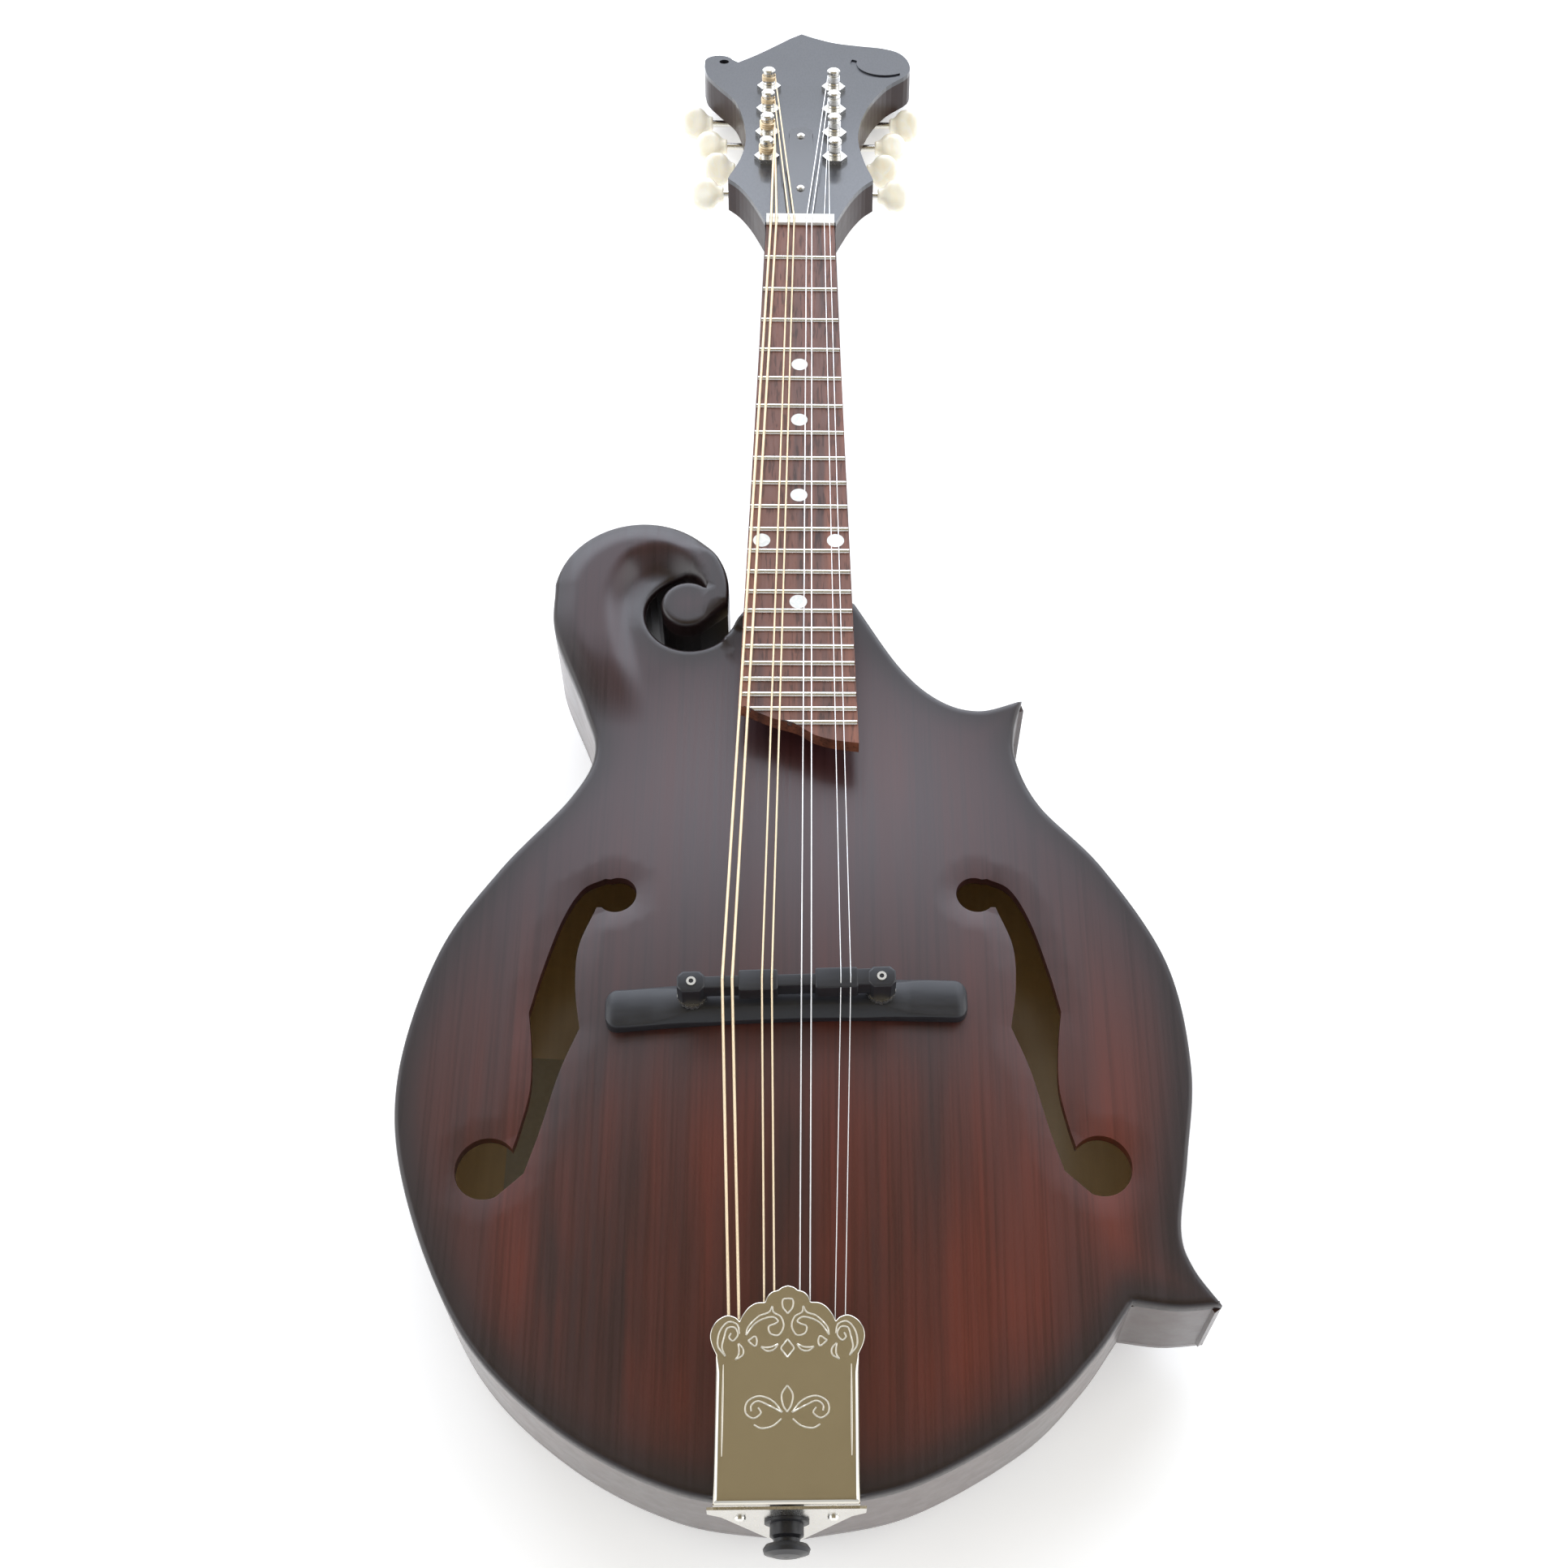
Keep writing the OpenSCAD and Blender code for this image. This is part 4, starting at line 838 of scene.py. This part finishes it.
def foot_section(x):
    """The ring of the bridge's foot at a distance x from its middle."""
    at = BRIDGE @ Vector((x, 0, 0))
    bottom = top_face(at.x, at.y)
    a = abs(x)
    middle = float(smoothstep(46, 24, a))
    rise = 4.6 + 1.2 * (1 - (min(a, 30) / 30) ** 2)
    wing = top_face(0.0, BRIDGE_Y) + 0.4 + float(smoothstep(50, 28, a)) * (rise - 0.4)
    end = math.sqrt(max(1 - (max(0, a - (FOOT_HALF - FOOT_END)) / FOOT_END) ** 2, 0))
    high = max(bottom + 4.4, wing) - (1 - end) * 1.2
    high = min(high, WHEEL_BED + 3 * float(smoothstep(21, 14, a)))
    wide = FOOT_WIDE * (0.35 + 0.65 * end)
    cut = 0.5 + 2.9 * middle
    mid = bottom + (high - bottom) * (0.86 - 0.36 * middle)
    half_ring = [(wide, bottom + 0.02), (wide, mid), (wide - 0.15, mid + 0.25), (wide - cut, high - 0.15),
                 (wide - cut - 0.3, high)]
    ring_yz = [(-y, z) for y, z in half_ring] + half_ring[::-1]
    return np.array([[x, y + FOOT_SHIFT, z] for y, z in ring_yz])


def block(x0, x1, y0, y1, z0, z1, chamfer, rounding):
    """A block with cut corners and a rounded top edge."""
    ring_xy = np.array([(x0 + chamfer, y0), (x1 - chamfer, y0), (x1, y0 + chamfer), (x1, y1 - chamfer),
                        (x1 - chamfer, y1), (x0 + chamfer, y1), (x0, y1 - chamfer), (x0, y0 + chamfer)])
    rows = [np.c_[ring_xy, np.full(8, z0)], np.c_[ring_xy, np.full(8, z1 - rounding)]]
    for t in (0.3, 0.7, 1.0):
        a = t * math.pi / 2
        inner = ring_xy - np.clip(ring_xy - ring_xy.mean(0), -1, 1) * rounding * (1 - math.cos(a))
        rows.append(np.c_[inner, np.full(8, z1 - rounding + rounding * math.sin(a))])
    return loft(rows)


def build_bridge():
    xs = FOOT_HALF * np.sin(np.linspace(-math.pi / 2, math.pi / 2, 140))
    base = fixed_normals(merged("bridge_foot", [loft([foot_section(x) for x in xs])], 32))
    low, high = SADDLE_TOP - SADDLE_T, SADDLE_TOP
    web, y0, y1 = low + 2, -3.5, 3.5
    saddle = fixed_normals(merged("bridge_top", [
        block(-33.2, 33.2, -2.2, 1.7, web, high - 0.35, 0.1, 0.3), block(-34.5, -25.7, y0, y1, low, high, 1.6, 0.6),
        block(-15.2, -2.8, y0, y1, web, high, 0.5, 0.4), block(9, 22.5, y0, y1, web, high, 0.5, 0.4),
        block(25.7, 34.5, y0, y1, low, high, 1.6, 0.6), block(20, 28, -2.6, 2.9, web, high - 0.2, 0.2, 0.3)], 32))
    for obj, name, body in ((base, "bridge_base", "body"), (saddle, "bridge_saddle", "saddle")):
        place(obj, BRIDGE)
        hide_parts(name)
        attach(obj, body)
        finish_node(obj, MATERIALS["ebony"])


# ---------------------------------------------------------------- strings
def across(k, spread, pair):
    """Sideways place of string k when the pairs' outer strings are spread apart by spread."""
    return (k // 2 - 1.5) * (spread - pair) / 3 + (k % 2 - 0.5) * pair


def nut_point(k):
    r = STRING_D[k] / 2
    return NECK @ Vector((across(k, 24, 2.2), NUT_T / 2, 1.4 + 0.2 * r))


def saddle_point(k):
    p = BRIDGE @ Vector((across(k, 40.4, 3.1), 0, 0))
    return Vector((p.x, p.y, SADDLE_TOP + STRING_D[k] / 2 + 0.08))


def post_top(k):
    """Side of the headstock and place along it of the post that string k goes to."""
    return (-1 if k < 4 else 1), (k if k < 4 else 7 - k)


def straight(a, b, n):
    a, b = np.array(a), np.array(b)
    return a + (b - a) * np.linspace(0, 1, n)[:, None]


def ball(centre, r):
    """A small ball that joins two tubes."""
    t = np.linspace(0, 2 * math.pi, 12, endpoint=False)
    return loft([np.array(centre) + np.stack([r * math.sin(a) * np.cos(t), r * math.sin(a) * np.sin(t),
                                              np.full(12, r * math.cos(a))], 1)
                 for a in (math.pi * i / 10 for i in range(1, 10))])


def build_strings():
    for name, node_name, keys, slot_name in (("wound", "strings_wound", range(4), "bronze_string"),
                                             ("plain", "strings_plain", range(4, 8), "steel_string")):
        front, back, head = [], [], []
        for k in keys:
            r = STRING_D[k] / 2
            side, place_of = post_top(k)
            wrap = STRING_BED + r + 0.02
            start = HEAD @ Vector((side * (POST_X - wrap), FIRST_POST + place_of * POST_PITCH, WRAP_Z))
            n, s = nut_point(k), saddle_point(k)
            hook = Vector((OFFSET + across(k, 33, 3), HOOK_Y, HOOK_Z))
            front.append(tube(straight(n, s, 60), r, 10))
            back.append(tube(straight(s, hook, 30), r, 10))
            head += [tube(straight(start, n, 12), r, 10), ball(n, 1.02 * r)]
        for part, parts, a, b in (("speaking", front, (0, 372, 54), (-2, 20.3, 86)),
                                  ("tail", back, (-2, -108, 64), (-2, 20.3, 86))):
            obj = merged(f"strings_{name}_{part}", parts, 60)
            if part == "speaking":
                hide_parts(node_name)
            finish_node(obj, MATERIALS[slot_name])
            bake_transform(obj)
        obj = merged(f"strings_{name}_head", head, 60)
        finish_node(obj, MATERIALS[slot_name])
        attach(obj, "body")
    for k in range(8):
        r = STRING_D[k] / 2
        side, place_of = post_top(k)
        turns = 3.6 if k < 4 else 4.6
        pitch = max(2.05 * r, 0.5)
        a = np.linspace(0, turns * 2 * math.pi, int(turns * 40))
        wrap = STRING_BED + r
        path = np.stack([side * POST_X + wrap * np.cos(math.pi / 2 * (1 + side) + a),
                         FIRST_POST + place_of * POST_PITCH + wrap * np.sin(math.pi / 2 * (1 + side) + a),
                         WRAP_Z + 1.2 - a / (2 * math.pi) * pitch], 1)
        obj = merged(f"string_winding_{k + 1}", [tube(path, r, 8)], 60)
        place(obj, HEAD)
        slot_name = "bronze_string" if k < 4 else "steel_string"
        finish_node(obj, MATERIALS[slot_name])
        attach(obj, f"{'bass' if side < 0 else 'treble'}_post_{place_of + 1}")


# ---------------------------------------------------------------- tuner buttons
# Distance from the headstock's side, half width and half thickness
BUTTON_PROFILE = np.array([[0, 2.6, 2.6], [0.5, 3.1, 3.0], [1.6, 3.4, 2.9], [2.8, 4.3, 3.0], [4.2, 6.1, 3.4],
                           [6, 7.3, 3.75], [8.5, 7.6, 3.75], [10.8, 7.0, 3.4], [12.6, 5.5, 2.8],
                           [13.6, 3.6, 2.0], [13.95, 1.6, 1.0], [14, 0.05, 0.05]])
BUTTON_POWER = 0.82


def build_buttons():
    a = np.linspace(0, 2 * math.pi, 36, endpoint=False)
    c, q = np.cos(a), np.sin(a)
    sections = []
    for x, w, t in curve(BUTTON_PROFILE, 5):
        y = w * np.sign(c) * np.abs(c) ** BUTTON_POWER
        z = t * np.sign(q) * np.abs(q) ** BUTTON_POWER
        waist = 1 - 0.16 * np.exp(-((x - 8) / 3.2) ** 2) * np.exp(-(y / 3.4) ** 2)
        sections.append(np.stack([np.full(36, x), y, z * waist], 1))
    for side, name in ((-1, "bass"), (1, "treble")):
        for i in range(4):
            obj = fixed_normals(merged(f"button_{name}_{i + 1}", [loft(sections)], 50))
            flip = Matrix.Scale(side, 4, (1, 0, 0))
            m = HEAD @ Matrix.Translation((side * BUTTON_X[i], FIRST_POST + i * POST_PITCH + WORM_OFFSET, SHAFT_Z))
            place(obj, m @ flip @ Matrix.Rotation(math.radians(BUTTON_TURN[i]), 4, "X"))
            if side < 0:
                fixed_normals(obj)
            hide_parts(f"tuner_button_{name}_{i + 1}")
            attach(obj, f"{name}_button_{i + 1}")
            finish_node(obj, MATERIALS["cream_plastic"])


dress_cad_nodes()
TOP, BACK = build_plates()
SIDES = build_ribs()
finish_node(TOP, MATERIALS["stained_top"])
for piece in [BACK] + SIDES:
    finish_node(piece, MATERIALS["stained_wood"])
build_cover()
build_bridge()
build_strings()
build_buttons()


# ---------------------------------------------------------------- floor, light and camera
def build_stage():
    """A white floor that touches the back and the lowest piece of the headstock."""
    boxes = [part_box(name) for name in NODES]
    slope = max(-box[0].z / box[1].y for box in boxes if box[0].y > 0.2)
    me = bpy.data.meshes.new("floor")
    s = 6.0
    me.from_pydata([(-s, -s, 0), (s, -s, 0), (s, s, 0), (-s, s, 0)], [], [(0, 1, 2, 3)])
    floor = bpy.data.objects.new("floor", me)
    floor.rotation_euler = (-math.atan(slope), 0, 0)
    floor.location = (0, 0, -0.0006)
    bpy.context.scene.collection.objects.link(floor)
    mat, nt, sh = material("floor_white")
    cloud = noise(nt, coords(nt), 3, 2, 0.5)
    nt.links.new(mix(nt, cloud, (0.90, 0.90, 0.90), (0.93, 0.93, 0.93)), sh.inputs["Base Color"])
    sh.inputs["Roughness"].default_value = 0.6
    sh.inputs["Emission Color"].default_value = (1, 1, 1, 1)
    sh.inputs["Emission Strength"].default_value = 0.38
    me.materials.append(mat)


def area(name, at, target, size, power, colour=(1, 1, 1)):
    data = bpy.data.lights.new(name, "AREA")
    data.shape = "RECTANGLE"
    data.size, data.size_y = size
    data.energy = power
    data.color = colour
    obj = bpy.data.objects.new(name, data)
    obj.location = at
    obj.rotation_euler = (Vector(target) - Vector(at)).to_track_quat("-Z", "Y").to_euler()
    bpy.context.scene.collection.objects.link(obj)


def build_light():
    bpy.context.scene.view_settings.view_transform = "Standard"
    world = bpy.data.worlds.new("studio")
    world.use_nodes = True
    bg = world.node_tree.nodes["Background"]
    bg.inputs[0].default_value = (0.91, 0.95, 1.0, 1)
    bg.inputs[1].default_value = 0.85
    bpy.context.scene.world = world
    area("far_panel", (0, 2.7, 1.5), (0, 0.1, 0), (5.0, 2.4), 112, (0.82, 0.88, 1.0))
    area("left_panel", (-2.6, 0.2, 1.3), (0, 0.1, 0), (2.4, 1.8), 22)
    area("right_panel", (2.6, 0.2, 1.3), (0, 0.1, 0), (2.4, 1.8), 22)
    flag = slab("overhead_card", (-2.2, -3.4, 3.2), (2.2, 1.25, 3.22))
    mat, nt, sh = material("card_olive")
    cloud = noise(nt, coords(nt), 2, 2, 0.5)
    nt.links.new(mix(nt, cloud, (0.20, 0.16, 0.09), (0.235, 0.19, 0.11)), sh.inputs["Base Color"])
    sh.inputs["Roughness"].default_value = 0.9
    flag.data.materials.append(mat)


def slab(name, low, high):
    xy = [(low[0], low[1]), (high[0], low[1]), (high[0], high[1]), (low[0], high[1])]
    me = bpy.data.meshes.new(name)
    verts = [(x, y, z) for z in (low[2], high[2]) for x, y in xy]
    walls = [(i, (i + 1) % 4, (i + 1) % 4 + 4, i + 4) for i in range(4)]
    me.from_pydata(verts, [], [(3, 2, 1, 0), (4, 5, 6, 7)] + walls)
    obj = bpy.data.objects.new(name, me)
    bpy.context.scene.collection.objects.link(obj)
    return obj


def build_camera():
    data = bpy.data.cameras.new("camera")
    data.sensor_width = 36
    data.lens = 51.816149
    data.shift_x, data.shift_y = -0.0679, -0.0737
    data.clip_start, data.clip_end = 0.01, 50
    cam = bpy.data.objects.new("camera", data)
    cam.location = (0.0017, -0.2821, 0.7362)
    cam.rotation_euler = (math.radians(32.77), math.radians(-1.99), math.radians(-1.02))
    bpy.context.scene.collection.objects.link(cam)
    bpy.context.scene.camera = cam


build_stage()
build_light()
build_camera()
